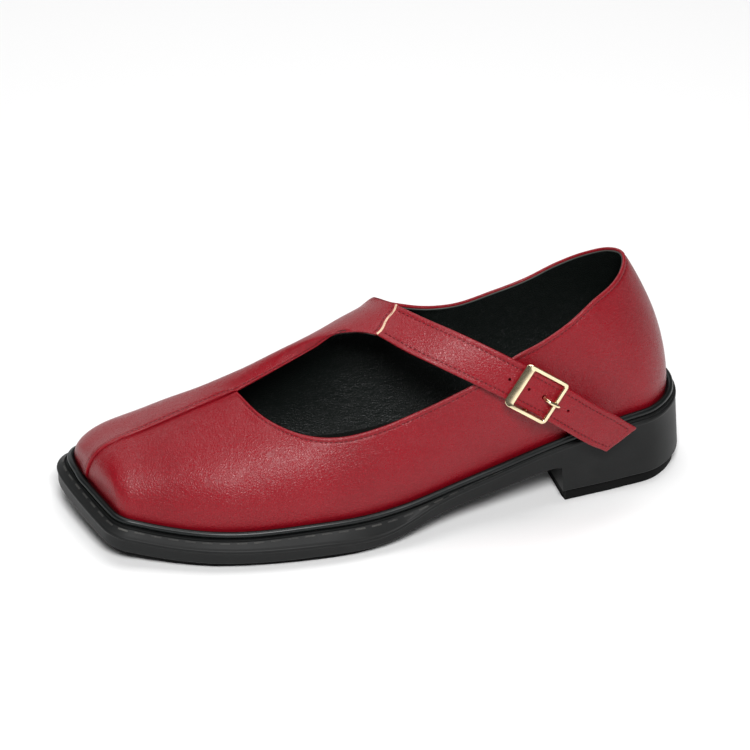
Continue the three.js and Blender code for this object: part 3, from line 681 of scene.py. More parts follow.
class Value:
    """A shader value with arithmetic that adds Math nodes."""

    def __init__(self, graph: "Graph", socket: bpy.types.NodeSocket) -> None:
        """Keeps the socket that carries the value."""
        self.graph = graph
        self.socket = socket

    def math(self, operation: str, *inputs: "Value | float") -> "Value":
        """A Math node on the given inputs, in order."""
        return self.graph.value("ShaderNodeMath", {"operation": operation}, dict(enumerate(inputs)))

    def __add__(self, other: "Value | float") -> "Value":
        """Sum."""
        return self.math("ADD", self, other)

    def __sub__(self, other: "Value | float") -> "Value":
        """Difference."""
        return self.math("SUBTRACT", self, other)

    def __rsub__(self, other: float) -> "Value":
        """Difference from a number."""
        return self.math("SUBTRACT", other, self)

    def __mul__(self, other: "Value | float") -> "Value":
        """Product."""
        return self.math("MULTIPLY", self, other)

    def __truediv__(self, other: "Value | float") -> "Value":
        """Quotient."""
        return self.math("DIVIDE", self, other)

    def __pow__(self, other: float) -> "Value":
        """Power."""
        return self.math("POWER", self, other)

    __radd__ = __add__
    __rmul__ = __mul__

    def step(self, low: float, high: float) -> "Value":
        """Smooth step from 0 at low to 1 at high."""
        settings = {"interpolation_type": "SMOOTHSTEP"}
        return self.graph.value("ShaderNodeMapRange", settings, {0: self, 1: low, 2: high, 3: 0.0, 4: 1.0})


class Graph:
    """The nodes of one material."""

    def __init__(self, name: str) -> None:
        """Starts a material with a principled shader."""
        self.material = bpy.data.materials.new(name)
        self.material.use_nodes = True
        self.tree = self.material.node_tree
        self.tree.nodes.clear()
        self.shader = self.node("ShaderNodeBsdfPrincipled", {}, {})
        self.node("ShaderNodeOutputMaterial", {}, {0: self.shader.outputs[0]})

    def node(self, kind: str, settings: dict, inputs: dict) -> bpy.types.Node:
        """Adds a node.

        Args:
            kind: the node's type.
            settings: its own properties, set first.
            inputs: its sockets by name or number, each a value or a link.

        Returns:
            The node.
        """
        made = self.tree.nodes.new(kind)
        for name, value in settings.items():
            setattr(made, name, value)
        for key, value in inputs.items():
            self.feed(made.inputs[key], value)
        return made

    def feed(self, socket: bpy.types.NodeSocket, value: object) -> None:
        """Links a value to a socket, or sets the socket."""
        if isinstance(value, Value):
            value = value.socket
        if isinstance(value, bpy.types.NodeSocket):
            self.tree.links.new(value, socket)
        elif isinstance(value, tuple) and len(value) == 3 and len(socket.default_value) == 4:
            socket.default_value = (*value, 1)
        else:
            socket.default_value = value

    def value(self, kind: str, settings: dict, inputs: dict, output: int | str = 0) -> Value:
        """Adds a node and gives one of its outputs."""
        return Value(self, self.node(kind, settings, inputs).outputs[output])

    def millimetres(self) -> Value:
        """Object coordinates in millimetres."""
        place = self.value("ShaderNodeTexCoord", {}, {}, "Object")
        return self.value("ShaderNodeVectorMath", {"operation": "SCALE"}, {0: place, "Scale": 1000.0})

    def noise(self, at: Value, size: float, detail: float = 2.0, rough: float = 0.5) -> Value:
        """Cloudy noise from 0 to 1, with blobs of about a size in millimetres."""
        inputs = {"Vector": at, "Scale": 0.5 / size, "Detail": detail, "Roughness": rough}
        return self.value("ShaderNodeTexNoise", {}, inputs)

    def warped(self, at: Value, size: float, amount: float) -> Value:
        """Coordinates pushed about by noise of a size, by about an amount, both in millimetres."""
        inputs = {"Vector": at, "Scale": 0.5 / size, "Detail": 2.0}
        cloud = self.value("ShaderNodeTexNoise", {}, inputs, "Color")
        pushed = self.value("ShaderNodeVectorMath", {"operation": "SCALE"}, {0: cloud, "Scale": 2 * amount})
        return self.value("ShaderNodeVectorMath", {"operation": "ADD"}, {0: at, 1: pushed})

    def cells(self, at: Value, size: float) -> Value:
        """Distance from the borders of cells of a size in millimetres, as a share of the size."""
        inputs = {"Vector": at, "Scale": 1 / size}
        return self.value("ShaderNodeTexVoronoi", {"feature": "DISTANCE_TO_EDGE"}, inputs)

    def mix(self, share: Value | float, a: object, b: object) -> Value:
        """A colour between two."""
        node = self.node("ShaderNodeMix", {"data_type": "RGBA"}, {})
        for key, value in ((0, share), (6, a), (7, b)):
            self.feed(node.inputs[key], value)
        return Value(self, node.outputs[2])

    def bump(self, height: Value, distance: float, strength: float = 1.0) -> Value:
        """A bumpy normal; height 1 stands up by a distance in millimetres."""
        inputs = {"Strength": strength, "Distance": distance * MM, "Height": height}
        return self.value("ShaderNodeBump", {}, inputs)

    def finish(self, **sockets: object) -> bpy.types.Material:
        """Sets the shader's sockets; underscores in a name stand for spaces."""
        for name, value in sockets.items():
            self.feed(self.shader.inputs[name.replace("_", " ")], value)
        return self.material


@dataclass(frozen=True)
class Leather:
    """Grained leather with a pigmented face."""

    name: str
    base: Colour
    deep: Colour
    roughness: float = 0.27
    specular: float = 0.34
    grain: float = 1.05
    relief: float = 0.12

    def material(self) -> bpy.types.Material:
        """Pebbles with short wrinkles between them, cloudy colour and duller hollows."""
        g = Graph(self.name)
        at = g.millimetres()
        bent = g.warped(at, 1.6, 0.5)
        pebble = g.cells(bent, self.grain).step(0.0, 0.28)
        pores = g.cells(g.warped(at, 0.5, 0.12), self.grain * 0.42).step(0.0, 0.2)
        wrinkle = g.noise(g.warped(at, 3.0, 1.5), 1.5, 3.0, 0.6).step(0.36, 0.56)
        broad = g.noise(at, 14.0, 2.0)
        fine = g.noise(at, 0.25, 2.0)
        height = 0.46 * pebble + 0.16 * pores + 0.36 * wrinkle + 0.12 * fine
        colour = g.mix((0.5 * broad + 0.3 * (1 - pebble)).step(0.2, 0.9), self.base, self.deep)
        rough = self.roughness + 0.08 * (1 - pebble) + 0.08 * (broad - 0.5)
        return g.finish(
            Base_Color=colour,
            Roughness=rough,
            Specular_IOR_Level=self.specular,
            Normal=g.bump(height, self.relief),
        )


@dataclass(frozen=True)
class Rubber:
    """Moulded rubber with a fine matt skin."""

    name: str
    base: Colour
    pale: Colour
    roughness: float = 0.6
    specular: float = 0.3
    relief: float = 0.03
    grain: float = 0.35

    def material(self) -> bpy.types.Material:
        """A stippled skin with pale dust where it catches; on the moulded dashes the paler colours are
        painted highlight.
        """
        g = Graph(self.name)
        at = g.millimetres()
        stipple = g.noise(at, self.grain, 3.0, 0.65)
        cloud = g.noise(at, 9.0, 3.0)
        specks = g.noise(at, 0.6, 1.0).step(0.62, 0.75)
        colour = g.mix((0.7 * cloud + 0.3 * stipple).step(0.42, 0.8), self.base, self.pale)
        colour = g.mix(specks * 0.25, colour, self.pale)
        return g.finish(
            Base_Color=colour,
            Roughness=self.roughness + 0.16 * (cloud - 0.5),
            Specular_IOR_Level=self.specular,
            Normal=g.bump(stipple, self.relief),
        )


@dataclass(frozen=True)
class Thread:
    """Twisted sewing thread."""

    name: str
    base: Colour
    dark: Colour

    def material(self) -> bpy.types.Material:
        """Fine twist with darker hollows."""
        g = Graph(self.name)
        at = g.millimetres()
        twist = g.value("ShaderNodeTexWave", {"bands_direction": "DIAGONAL"}, {"Vector": at, "Scale": 2.4})
        fuzz = g.noise(at, 0.12, 2.0)
        colour = g.mix(twist * 0.6 + fuzz * 0.4, self.dark, self.base)
        return g.finish(
            Base_Color=colour, Roughness=0.5, Specular_IOR_Level=0.3, Normal=g.bump(twist + fuzz * 0.5, 0.03)
        )


@dataclass(frozen=True)
class RawEdge:
    """Cut edge of coated leather, with its pale core."""

    name: str
    core: Colour
    stain: Colour

    def material(self) -> bpy.types.Material:
        """Pale fibres with some of the coat's colour."""
        g = Graph(self.name)
        at = g.millimetres()
        fibre = g.noise(at, 0.16, 3.0, 0.7)
        stain = g.noise(at, 0.9, 2.0).step(0.5, 0.72)
        colour = g.mix(0.5 * stain + 0.3 * (1 - fibre), self.core, self.stain)
        return g.finish(Base_Color=colour, Roughness=0.8, Specular_IOR_Level=0.2, Normal=g.bump(fibre, 0.05))


@dataclass(frozen=True)
class Plating:
    """Polished plated metal."""

    name: str
    base: Colour
    roughness: float = 0.16

    def material(self) -> bpy.types.Material:
        """Slight waves and hairlines in the polish."""
        g = Graph(self.name)
        at = g.millimetres()
        wave = g.noise(at, 2.5, 2.0)
        line = g.noise(at, 0.1, 2.0)
        colour = g.mix(wave.step(0.3, 0.8), self.base, tuple(0.86 * c for c in self.base))
        return g.finish(
            Base_Color=colour,
            Metallic=1.0,
            Roughness=self.roughness + 0.1 * (line - 0.4),
            Normal=g.bump(wave + line * 0.1, 0.02),
        )


@dataclass
class Finishes:
    """Every finish of the shoe, each made once."""

    made: dict[str, bpy.types.Material] = field(default_factory=dict)

    def of(self, finish: "Leather | Rubber | Thread | RawEdge | Plating") -> bpy.types.Material:
        """The material of a finish."""
        if finish.name not in self.made:
            self.made[finish.name] = finish.material()
        return self.made[finish.name]


FINISHES = Finishes()
RED_LEATHER = Leather("red leather", (0.25, 0.0035, 0.0105), (0.16, 0.0022, 0.0062))
BLACK_LINING = Leather(
    "black lining", (0.005, 0.0075, 0.0065), (0.003, 0.0045, 0.004), 0.36, 0.4, 1.1, 0.25
)
SOCK_LEATHER = Leather("black sock", (0.005, 0.007, 0.006), (0.003, 0.0045, 0.004), 0.42, 0.3, 0.9, 0.2)
SOLE_RUBBER = Rubber("sole rubber", (0.008, 0.0085, 0.0085), (0.013, 0.0135, 0.0135), 0.5, 0.2)
TREAD_RUBBER = Rubber("tread rubber", (0.004, 0.004, 0.004), (0.008, 0.008, 0.008), 0.75, 0.1)
BEAD_RUBBER = Rubber("bead rubber", (0.003, 0.0045, 0.0045), (0.006, 0.009, 0.009), 0.35, 0.35, 0.015)
# Painted highlight: the moulded dashes are the sole's own black rubber, given a pale grey here to stand in
# for the light that they catch.
PAINTED_HIGHLIGHT_DASH_RUBBER = Rubber("dash rubber painted highlight", (0.02, 0.02, 0.019), (0.1, 0.098, 0.09), 0.6, 0.3, 0.08, 0.25)
LINING_EDGE = Rubber("lining edge", (0.05, 0.055, 0.05), (0.09, 0.098, 0.09), 0.6, 0.3, 0.02)
DARK_THREAD = Thread("dark red thread", (0.16, 0.005, 0.01), (0.04, 0.001, 0.003))
CREAM_EDGE = RawEdge("cream edge", (0.78, 0.6, 0.42), (0.4, 0.08, 0.06))
PALE_GOLD = Plating("pale gold", (0.9, 0.76, 0.5), 0.12)


def report(
    made: bpy.types.Object, finish: Leather | Rubber | Thread | RawEdge | Plating, slot: Slot, *nodes: str
) -> bpy.types.Object:
    """Finishes a piece: its material, body and the CAD nodes that it stands for.

    Args:
        made: the piece.
        finish: what it is made of.
        slot: the piece's material slot; not used.
        nodes: CAD nodes that it replaces.

    Returns:
        The piece.
    """
    made.data.materials.clear()
    made.data.materials.append(FINISHES.of(finish))
    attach(made, BODY)
    if nodes:
        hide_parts(*nodes)
    LOG.info("%s: %d faces", made.name, len(made.data.polygons))
    return made


@dataclass(frozen=True)
class Crease:
    """A soft trough or ridge of the leather along a few points.

    Depth is positive for a ridge; width is half of its reach across.
    """

    line: tuple[tuple[float, float, float], ...]
    width: float
    depth: float

    def relief(self, points: Array) -> Array:
        """Height that it adds at points of the surface."""
        knots = np.array(self.line, float)
        best = np.full(points.shape[:-1], 1e9)
        place = np.zeros(points.shape[:-1])
        spans = np.linalg.norm(np.diff(knots, axis=0), axis=1)
        before = 0.0
        for a, b, span in zip(knots, knots[1:], spans):
            t = np.clip(((points - a) @ (b - a)) / span**2, 0, 1)
            far = np.linalg.norm(points - a - t[..., None] * (b - a), axis=-1)
            nearer = far < best
            best = np.where(nearer, far, best)
            place = np.where(nearer, (before + t * span) / spans.sum(), place)
            before += span
        taper = np.sin(np.pi * np.clip(place, 0.02, 0.98)) ** 0.7
        return self.depth * taper * np.exp(-((best / self.width) ** 2))


# Folds of wear: two below the throat, one along the lateral vamp, two on the quarter, toe and instep
CREASES = (
    Crease(((186, 11, 51), (173, 22, 48), (160, 29, 43)), 3.0, -0.35),
    Crease(((178, 18, 50), (165, 27, 45), (150, 32, 41)), 2.4, 0.25),
    Crease(((140, 33, 47), (122, 35, 42), (105, 35, 38)), 3.5, -0.3),
    Crease(((62, 28, 62), (52, 28, 56), (44, 28, 48)), 3.0, -0.35),
    Crease(((48, 26, 70), (42, 26, 62), (38, 26, 54)), 2.5, 0.3),
    Crease(((215, 10, 41), (205, 17, 38), (192, 25, 33)), 4.0, -0.25),
    Crease(((192, -15, 58), (177, -14, 68), (162, -13, 77)), 4.0, -0.3),
)


@dataclass
class Upper:
    """The red upper with its lap, folded edges and stitch rows, and the black lining inside it."""

    last: Last
    thickness: float = 1.2
    roll: float = 0.6
    lap: float = 0.9
    lap_reach: float = 13.0
    stitch_depth: float = 2.1
    lining_thick: float = 0.55
    sink: float = 0.35

    def places(self) -> Array:
        """Columns round the shoe, once from heel to toe on each side."""
        lateral = stretches([0, THROAT, TOE_END], [200, 84])
        medial = stretches([0, JOINT_UPPER, JOINT_LOWER, -THROAT, -TOE_END], [130, 18, 46, 84])
        return np.concatenate([lateral, medial[::-1]])

    def lap_height(self, place: Array, depth: Array, height: Array) -> Array:
        """How far the medial panel is raised where it laps over the lateral one."""
        fade = 1 - ease(depth / self.lap_reach)
        foot = ease((height - depth) / 5)
        return np.where(place < -THROAT, self.lap * fade * foot * ease((1 + place) / 0.02), 0)

    def relief(self, place: Array, depth: Array, height: Array, points: Array) -> Array:
        """Height of the red face over the plain wall.

        Args:
            place: places (n, 1).
            depth: distances below the top edge (n, m).
            height: length of the wall (n, 1).
            points: points of the plain wall (n, m, 3).

        Returns:
            Heights (n, m) in millimetres.
        """
        seam = ease((np.abs(place) - THROAT) / 0.02)
        medial = (place < 0) * seam
        inner = np.minimum(depth, self.roll)
        fall = self.roll - np.sqrt(np.maximum(self.roll**2 - (self.roll - inner) ** 2, 0))
        toe = ease((1 - np.abs(place)) / 0.03)
        rolled = (1 - seam) + medial * toe
        down = -fall * rolled
        sunk = -self.sink * (1 - ease(depth / 1.1)) * seam * (place > 0) * toe
        first = (depth < 1e-6) * seam
        edge = (down + self.lap_height(place, depth, height) + sunk) * (1 - first) - self.sink * first * toe
        groove = bump_at(depth, self.stitch_depth, 0.5) * 0.2 * rolled
        puff = bump_at(depth, 1.05, 0.5) * 0.1 * rolled
        keep = ease((height - depth) / 8)
        x, y, z = (points[..., k] for k in range(3))
        soft = 0.16 * np.sin(x / 9 + y / 13 + 1) * np.sin(z / 8 - x / 21) + 0.1 * np.sin(x / 5.3 - z / 6.1)
        soft = soft * ease(depth / 6) * keep
        folds = sum((crease.relief(points) for crease in CREASES), np.zeros(depth.shape))
        return edge - groove + puff + soft + folds * keep * ease(depth / 2.5)

    def shell(
        self, name: str, depths: Array, offsets: Callable[[Array, Array, Array, Array], Array]
    ) -> bpy.types.Object:
        """A closed skin round the shoe through profile points at depths below the top edge.

        Args:
            name: the piece's name.
            depths: (columns, rows) along the profile, once round it.
            offsets: gives each point's height over the wall from place, depth, wall length and points.

        Returns:
            The piece.
        """
        place = self.places()
        height = self.last.height(place)[:, None]
        up = self.last.up_at(place, depths)
        wall = self.last.wall(place[:, None], up)
        normal = self.last.normal(place[:, None], up)
        seam = np.abs(place) >= THROAT - 1e-9
        count = int(seam.sum() // 2)
        middle = int(np.argmax(place < 0))
        for k in range(count):
            i, j = middle - 1 - k, middle + k
            at_top = depths[i] < 1e-6
            shared = unit(normal[i] + normal[j])
            normal[i][at_top] = shared[at_top]
            normal[j][at_top] = shared[at_top]
        offset = offsets(place[:, None], depths, height, wall)
        points = self.calmed(wall + normal * offset[..., None], place, depths)
        ends = (points[middle - 1] + points[middle]) / 2
        points[middle - 1] = points[middle] = ends
        points = np.concatenate([points, points[:, :1]], axis=1)
        return surface(name, points.transpose(1, 0, 2))

    def calmed(self, points: Array, place: Array, depths: Array) -> Array:
        """Evens the surface out below the corners of the opening, so that no ridge runs down from them.

        Args:
            points: (columns, rows, 3) round the shoe.
            place: places of the columns.
            depths: distances below the top edge (columns, rows).

        Returns:
            The evened points.
        """
        near = bump_at(np.abs(place), THROAT, 0.07) + bump_at(place, JOINT_LOWER - 0.03, 0.07)
        share = np.minimum(near, 1)[:, None, None] * ease((depths - 2.6) / 7)[..., None]
        for _ in range(70):
            beside = (np.roll(points, 1, axis=0) + np.roll(points, -1, axis=0)) / 2
            points = points + (beside - points) * share * 0.5
        return points

    def profile(
        self, outer: list[float], inner: list[float], rows: int, inner_rows: int
    ) -> tuple[Array, int]:
        """Depths once round the profile: up the inner side, then down the outer one.

        Args:
            outer: near the edge, depths of the outer side.
            inner: near the edge, depths of the inner side, in the same order.
            rows: even rows below them outside.
            inner_rows: even rows below them inside.

        Returns:
            Depths (columns, rows) and the number of inner rows.
        """
        height = self.last.height(self.places())[:, None]
        squeeze = np.minimum(1, height / 12)

        def side(near: list[float], count: int) -> Array:
            """Fine depths near the edge, then even ones down to the sole."""
            fine = np.array(near)[None] * squeeze
            share = np.linspace(0, 1, count + 1)[None, 1:]
            return np.concatenate([fine, fine[:, -1:] + (height - fine[:, -1:]) * share], axis=1)

        inside = side(inner, inner_rows)[:, ::-1]
        return np.concatenate([inside, side(outer, rows)], axis=1), inside.shape[1]

    def red_shell(self) -> bpy.types.Object:
        """The outer leather, closed round its edges."""
        outer = [0, 0.03, 0.1, 0.22, 0.38, 0.6, 0.85, 1.15, 1.5, 1.8, 2.1, 2.4, 2.8, 3.3, 4, 5]
        depths, count = self.profile(outer, [0.04, 0.2, 0.6, 3], 48, 12)

        def offsets(place: Array, depth: Array, height: Array, wall: Array) -> Array:
            """Relief outside; half round and then even inside."""
            made = self.relief(place, depth, height, wall)
            inner = np.minimum(depth[:, :count], self.roll)
            arc = np.sqrt(np.maximum(self.roll**2 - (self.roll - inner) ** 2, 0))
            seam = ease((np.abs(place) - THROAT) / 0.02)
            made[:, :count] = (-self.roll - arc) * (1 - seam) - self.thickness * seam
            return made

        return smoothed(self.shell("upper_shell", depths, offsets), 50)

    def lining(self) -> bpy.types.Object:
        """The thin lining inside the leather, its edge a little below the fold."""
        depths, count = self.profile([0, 0.12, 0.3, 3], [0.12, 0.3, 2, 5], 14, 46)
        start = 0.95

        def offsets(place: Array, depth: Array, height: Array, wall: Array) -> Array:
            """Two faces a little apart that meet in a round edge."""
            seam = ease((np.abs(place) - THROAT) / 0.02)
            half = self.lining_thick / 2
            arc = half * np.sqrt(1 - (1 - np.minimum(depth / 0.3, 1)) ** 2)
            arc = arc * (1 - seam) + half * seam
            middle = -self.thickness - 0.03 - half
            made = middle + arc
            made[:, :count] = (middle - arc)[:, :count]
            return made * self.tucked(place, depth)

        made = self.shell("lining", depths + start, offsets)
        return smoothed(made, 50)

    def tucked(self, place: Array, depth: Array | float) -> Array:
        """Share of its depth that the lining keeps; its edge lies closer where the vamp bends most."""
        return 1 - 0.5 * bump_at(place, -0.6, 0.045) * (1 - ease((np.asarray(depth) - 2.5) / 3))

    def lining_edge(self) -> bpy.types.Object:
        """The pale cut edge of the lining, round the opening."""
        place = np.linspace(-THROAT + 0.004, THROAT - 0.004, 900)
        close = self.tucked(place, 0.95)
        middle = (-self.thickness - self.lining_thick / 2) * close - self.relief_at(place, 0.95)
        line, normals = self.row(place, 0.95, middle)
        run = unit(np.gradient(line, axis=0))
        side = unit(np.cross(run, normals))
        angle = np.linspace(0, 2 * np.pi, 8, endpoint=False)
        radius = 0.3 * np.maximum(2 * close - 1, 0.1)[:, None]
        loops = [line + radius * (normals * np.cos(a) + side * np.sin(a)) for a in angle]
        return smoothed(tube("lining_edge", np.stack(loops, axis=1)), 60)

    def relief_at(self, place: Array, depth: float) -> Array:
        """Relief of the red face at an even depth below the top edge."""
        height = self.last.height(place)[:, None]
        depths = np.full((len(place), 1), depth) * np.minimum(1, height / 12)
        wall = self.last.wall(place[:, None], self.last.up_at(place, depths))
        return self.relief(place[:, None], depths, height, wall)[:, 0]

    def row(self, place: Array, depth: float, lift: Array | float) -> tuple[Array, Array]:
        """A line on the red face at an even depth below the top edge, with its normals."""
        height = self.last.height(place)[:, None]
        depths = np.full((len(place), 1), depth) * np.minimum(1, height / 12)
        up = self.last.up_at(place, depths)
        wall = self.last.wall(place[:, None], up)
        normal = self.last.normal(place[:, None], up)
        offset = self.relief(place[:, None], depths, height, wall) + np.reshape(lift, (-1, 1))
        return (wall + normal * offset[..., None])[:, 0], normal[:, 0]

    def stitch_rows(self) -> list[bpy.types.Object]:
        """Rows along the collar, the cut-out, the centre seam and the strap's joint."""
        size = (1.35, 0.42, 0.34)
        rows = {
            "collar_stitches": (np.linspace(JOINT_UPPER + 0.012, THROAT - 0.012, 900), self.stitch_depth),
            "cut_out_stitches": (np.linspace(-THROAT + 0.01, JOINT_LOWER - 0.008, 300), self.stitch_depth),
            "seam_stitches": (np.linspace(-0.985, -THROAT + 0.006, 300), 2.0),
            "joint_stitches": (np.linspace(JOINT_LOWER + 0.003, JOINT_UPPER - 0.003, 60), 1.6),
        }
        made = []
        for seed, (name, (place, depth)) in enumerate(rows.items()):
            line, normals = self.row(place, depth, 0.06)
            made.append(stitches(name, line, normals, 2.0, size, seed))
        return made

    def raw_edge(self) -> bpy.types.Object:
        """Pale cut edge where the medial panel ends over the strap."""
        place = np.linspace(JOINT_LOWER + 0.001, JOINT_UPPER - 0.001, 60)
        top = self.last.top(place)
        up = np.ones((len(place), 1))
        normal = self.last.normal(place[:, None], up)[:, 0]
        along = unit(np.gradient(top, axis=0))
        back = unit(np.cross(normal, along))
        section = [(-0.4, 0.08), (0.45, 0.1), (0.55, 0.0), (0.55, -0.55), (0.45, -0.65), (-0.4, -0.65)]
        loops = np.stack([top + back * w + normal * h for w, h in section], axis=1)
        return smoothed(tube("joint_raw_edge", loops), 50)

    def build(self) -> None:
        """Builds and dresses every piece of the upper."""
        report(self.red_shell(), RED_LEATHER, Slot.UPPER, "upper")
        report(self.lining(), BLACK_LINING, Slot.LINING)
        report(self.lining_edge(), LINING_EDGE, Slot.LINING)
        for row in self.stitch_rows():
            report(row, DARK_THREAD, Slot.UPPER)
        report(self.raw_edge(), CREAM_EDGE, Slot.UPPER)


@dataclass
class Sole:
    """The moulded unit with its ledge, groove, wall and heel block, and the pieces that belong to it."""

    last: Last
    breast_x: float = 58.2
    breast_run: float = 1.2
    block_bottom: float = 5.5
    flare: float = 0.075
    bead_radius: float = 1.35
    tread_from: float = 112
    tread_inset: float = 3.2
    lift_inset: float = 0.4
    insole_inset: float = 2.7
    insole_thick: float = 2
    tread_pitch: float = 7.0
    lift_pitch: float = 6.0
    dash_pitch: float = 6.9
    dash_size: tuple[float, float, float] = (4.2, 0.75, 0.22)

    def ring(self, marks: Callable[[int], list[float]], counts: list[int]) -> Array:
        """Places along the lateral side and back along the medial side, in matching numbers."""
        lateral, medial = (stretches(marks(side), counts) for side in (1, -1))
        return np.concatenate([lateral, medial[::-1]])

    def closed(self, name: str, rings: list[Array], rungs: int) -> bpy.types.Object:
        """A solid through rings, with its top and underside spanned between the two sides.

        Args:
            name: the piece's name.
            rings: each (n, 3), from the top down; the two halves of a ring mirror each other in number.
            rungs: steps from each side to the middle.

        Returns:
            The piece.
        """

        def span(ring: Array) -> list[Array]:
            """Rings that shrink to the middle line."""
            middle = (ring + ring[::-1]) / 2
            return [ring + (middle - ring) * k / rungs for k in range(rungs, 0, -1)]

        rows = [*span(rings[0]), *rings, *span(rings[-1])[::-1]]
        grid = np.stack(rows)
        return surface(name, grid)

    def wall_bottom(self, x: Array) -> Array:
        """Lower edge of the side wall, with the heel block behind the breast."""
        full = self.last.level("bottom", x)
        near = ease((x - self.breast_x) / (self.breast_run + 3.2))
        front = np.where(x < self.breast_x + self.breast_run + 0.4, full - 1, full - 1 + near)
        return np.where(x <= self.breast_x + 0.1, self.block_bottom, np.minimum(front, full))

    def body(self) -> bpy.types.Object:
        """Plate, ledge, groove, side wall, arch and heel block."""
        last = self.last

        def marks(side: int) -> list[float]:
            """The breast's columns among the others."""
            at = [last.place_at(side, x) for x in (58.2, 59.4, 62.5, 66, 112)]
            return [0, *at, side * 1.0]

        place = self.ring(marks, [70, 2, 4, 4, 46, 170])
        rim_x = last.plan(place, 0.0)[:, 0]
        ledge = last.ledge(place)
        crease = last.level("crease", rim_x)
        bottom = self.wall_bottom(rim_x)
        seat = last.level("seat", last.plan(place, ledge)[:, 0])
        shelf = np.maximum(ledge - 2 * self.bead_radius - 0.7, 0.7)
        groove = np.clip((ledge - 5) / 2, 0, 1)
        flare = self.flare * (1 - ease((rim_x - 70) / 50))

        def at(inset: Array, z: Array) -> Array:
            """A ring at an inset and height."""
            ring = last.plan(place, inset)
            ring[:, 2] = z
            return ring

        def wall_at(inset: float, z: Array) -> Array:
            """A ring on the flared side wall."""
            return at(inset - flare * (crease - z), z)

        inner = shelf - 0.3 - 0.65 * groove
        slope = np.linspace(0, 1, 7)[1:-1]
        high, low = seat - 0.25 - 0.1 * groove, crease + 0.42
        rings = [
            at(ledge, seat),
            at(shelf, seat - 0.05),
            at(shelf - 0.1, seat - 0.12 - 0.1 * groove),
            at(shelf - 0.15 - 0.07 * groove, seat - 0.2 - 0.65 * groove),
            at(shelf - 0.2 - 0.25 * groove, seat - 0.25 - 0.8 * groove),
            at(shelf - 0.25 - 0.5 * groove, seat - 0.25 - 0.6 * groove),
            at(inner, high),
            *(at(inner + (0.9 - inner) * s, high + (low - high) * s) for s in slope),
            at(0.9, low),
            at(0.55, crease + 0.3),
            at(0.28, crease + 0.1),
            at(0.1, crease - 0.18),
            at(0.02, crease - 0.5),
            at(0.02, crease - 0.85),
            wall_at(0.12, crease - 1.15),
            wall_at(0.3, crease - 1.4),
            wall_at(0.38, crease - 1.75),
            wall_at(0.42, crease * 0.6 + (bottom + 0.7) * 0.4),
            wall_at(0.44, crease * 0.25 + (bottom + 0.7) * 0.75),
            wall_at(0.45, bottom + 0.75),
            wall_at(0.52, bottom + 0.4),
            wall_at(0.7, bottom + 0.12),
            wall_at(1, bottom),
        ]
        return smoothed(self.closed("sole_body", rings, 6), 38)

    def dashes(self) -> bpy.types.Object:
        """Moulded dashes that stand a little out of the ledge, beside its groove."""
        last = self.last
        place = np.concatenate(
            [np.linspace(last.place_at(1, 84), 1, 900), np.linspace(-1, last.place_at(-1, 84), 900)]
        )
        ledge = last.ledge(place)
        shelf = np.maximum(ledge - 2 * self.bead_radius - 0.7, 0.7)
        rim_x = last.plan(place, 0.0)[:, 0]
        seat = last.level("seat", last.plan(place, ledge)[:, 0])
        groove = np.clip((ledge - 5) / 2, 0, 1)
        inner = shelf - 0.3 - 0.65 * groove
        high, low = seat - 0.25 - 0.1 * groove, last.level("crease", rim_x) + 0.42
        inset = np.maximum(inner - 0.45, 0.75)
        share = np.clip((inner - inset) / np.maximum(inner - 0.9, 0.1), 0, 0.8)
        line = last.plan(place, inset)
        line[:, 2] = high + (low - high) * share + 0.03
        out = last.outward(place)
        down = unit(out * (inner - 0.9)[:, None] - np.array([0, 0, 1.0]) * (high - low)[:, None])
        run = unit(np.gradient(line, axis=0))
        normals = unit(np.cross(run, down))
        bpy.ops.object.select_all(action="DESELECT")
        bpy.ops.mesh.primitive_cube_add(size=1)
        pattern = bpy.context.object
        bpy.ops.object.mode_set(mode="EDIT")
        bpy.ops.mesh.select_all(action="SELECT")
        bpy.ops.mesh.bevel(offset=0.12, segments=2, affect="EDGES")
        bpy.ops.object.mode_set(mode="OBJECT")
        return copies("ledge_dashes", pattern, along_line(line, normals, self.dash_pitch, self.dash_size))

    def lean(self, place: Array) -> Array:
        """How far the upper leans out over the height of the bead."""
        foot = self.last.foot(place)
        reach = np.linalg.norm(foot - self.last.top(place), axis=-1) + 1
        share = np.minimum(1, self.bead_radius / (WALL_FORM.read("rise", place) * reach))
        out = self.last.outward(place)
        leans = [((self.last.wall(place, s) - foot) * out).sum(-1) for s in (share / 2, share)]
        at_toe = 0.9 * (1 - ease((1 - np.abs(place)) / 0.04))
        return np.maximum.reduce([at_toe, *leans])

    def bead(self) -> bpy.types.Object:
        """The rounded rand round the foot of the upper."""
        place = self.ring(lambda side: [0, side * 0.95, side * 1.0], [200, 30])
        inset = self.last.ledge(place) - self.last.gap - self.lean(place) - self.bead_radius
        centre = self.last.plan(place, inset)
        centre[:, 2] = self.last.foot(place)[:, 2] + self.bead_radius
        out = self.last.outward(place)
        angle = np.linspace(0, 2 * np.pi, 17)
        up = np.array([0, 0, 1.0])
        loops = [centre + self.bead_radius * (out * np.cos(a) + up * np.sin(a)) for a in angle[::-1]]
        return smoothed(surface("bead", np.stack(loops)), 60)

    def layer(
        self, name: str, place: Array, profile: list[tuple[Array | float, Height]]
    ) -> bpy.types.Object:
        """A layer with the rim's outline through rings of given inset and height over x."""
        rings = []
        for inset, height in profile:
            ring = self.last.plan(place, inset)
            ring[:, 2] = height(ring[:, 0])
            rings.append(ring)
        return smoothed(self.closed(name, rings, 12), 40)

    def sock(self) -> bpy.types.Object:
        """Insole board with its leather sock, dished under the heel and ball."""
        place = self.ring(lambda side: [0, side * 0.9, side * 0.9985], [150, 50])
        inset = self.last.ledge(place) + self.insole_inset
        thick = self.insole_thick

        def over_seat(lift: float) -> Height:
            """Height over the seat, for every x."""
            return lambda x: self.last.level("seat", x) + self.last.gap + lift

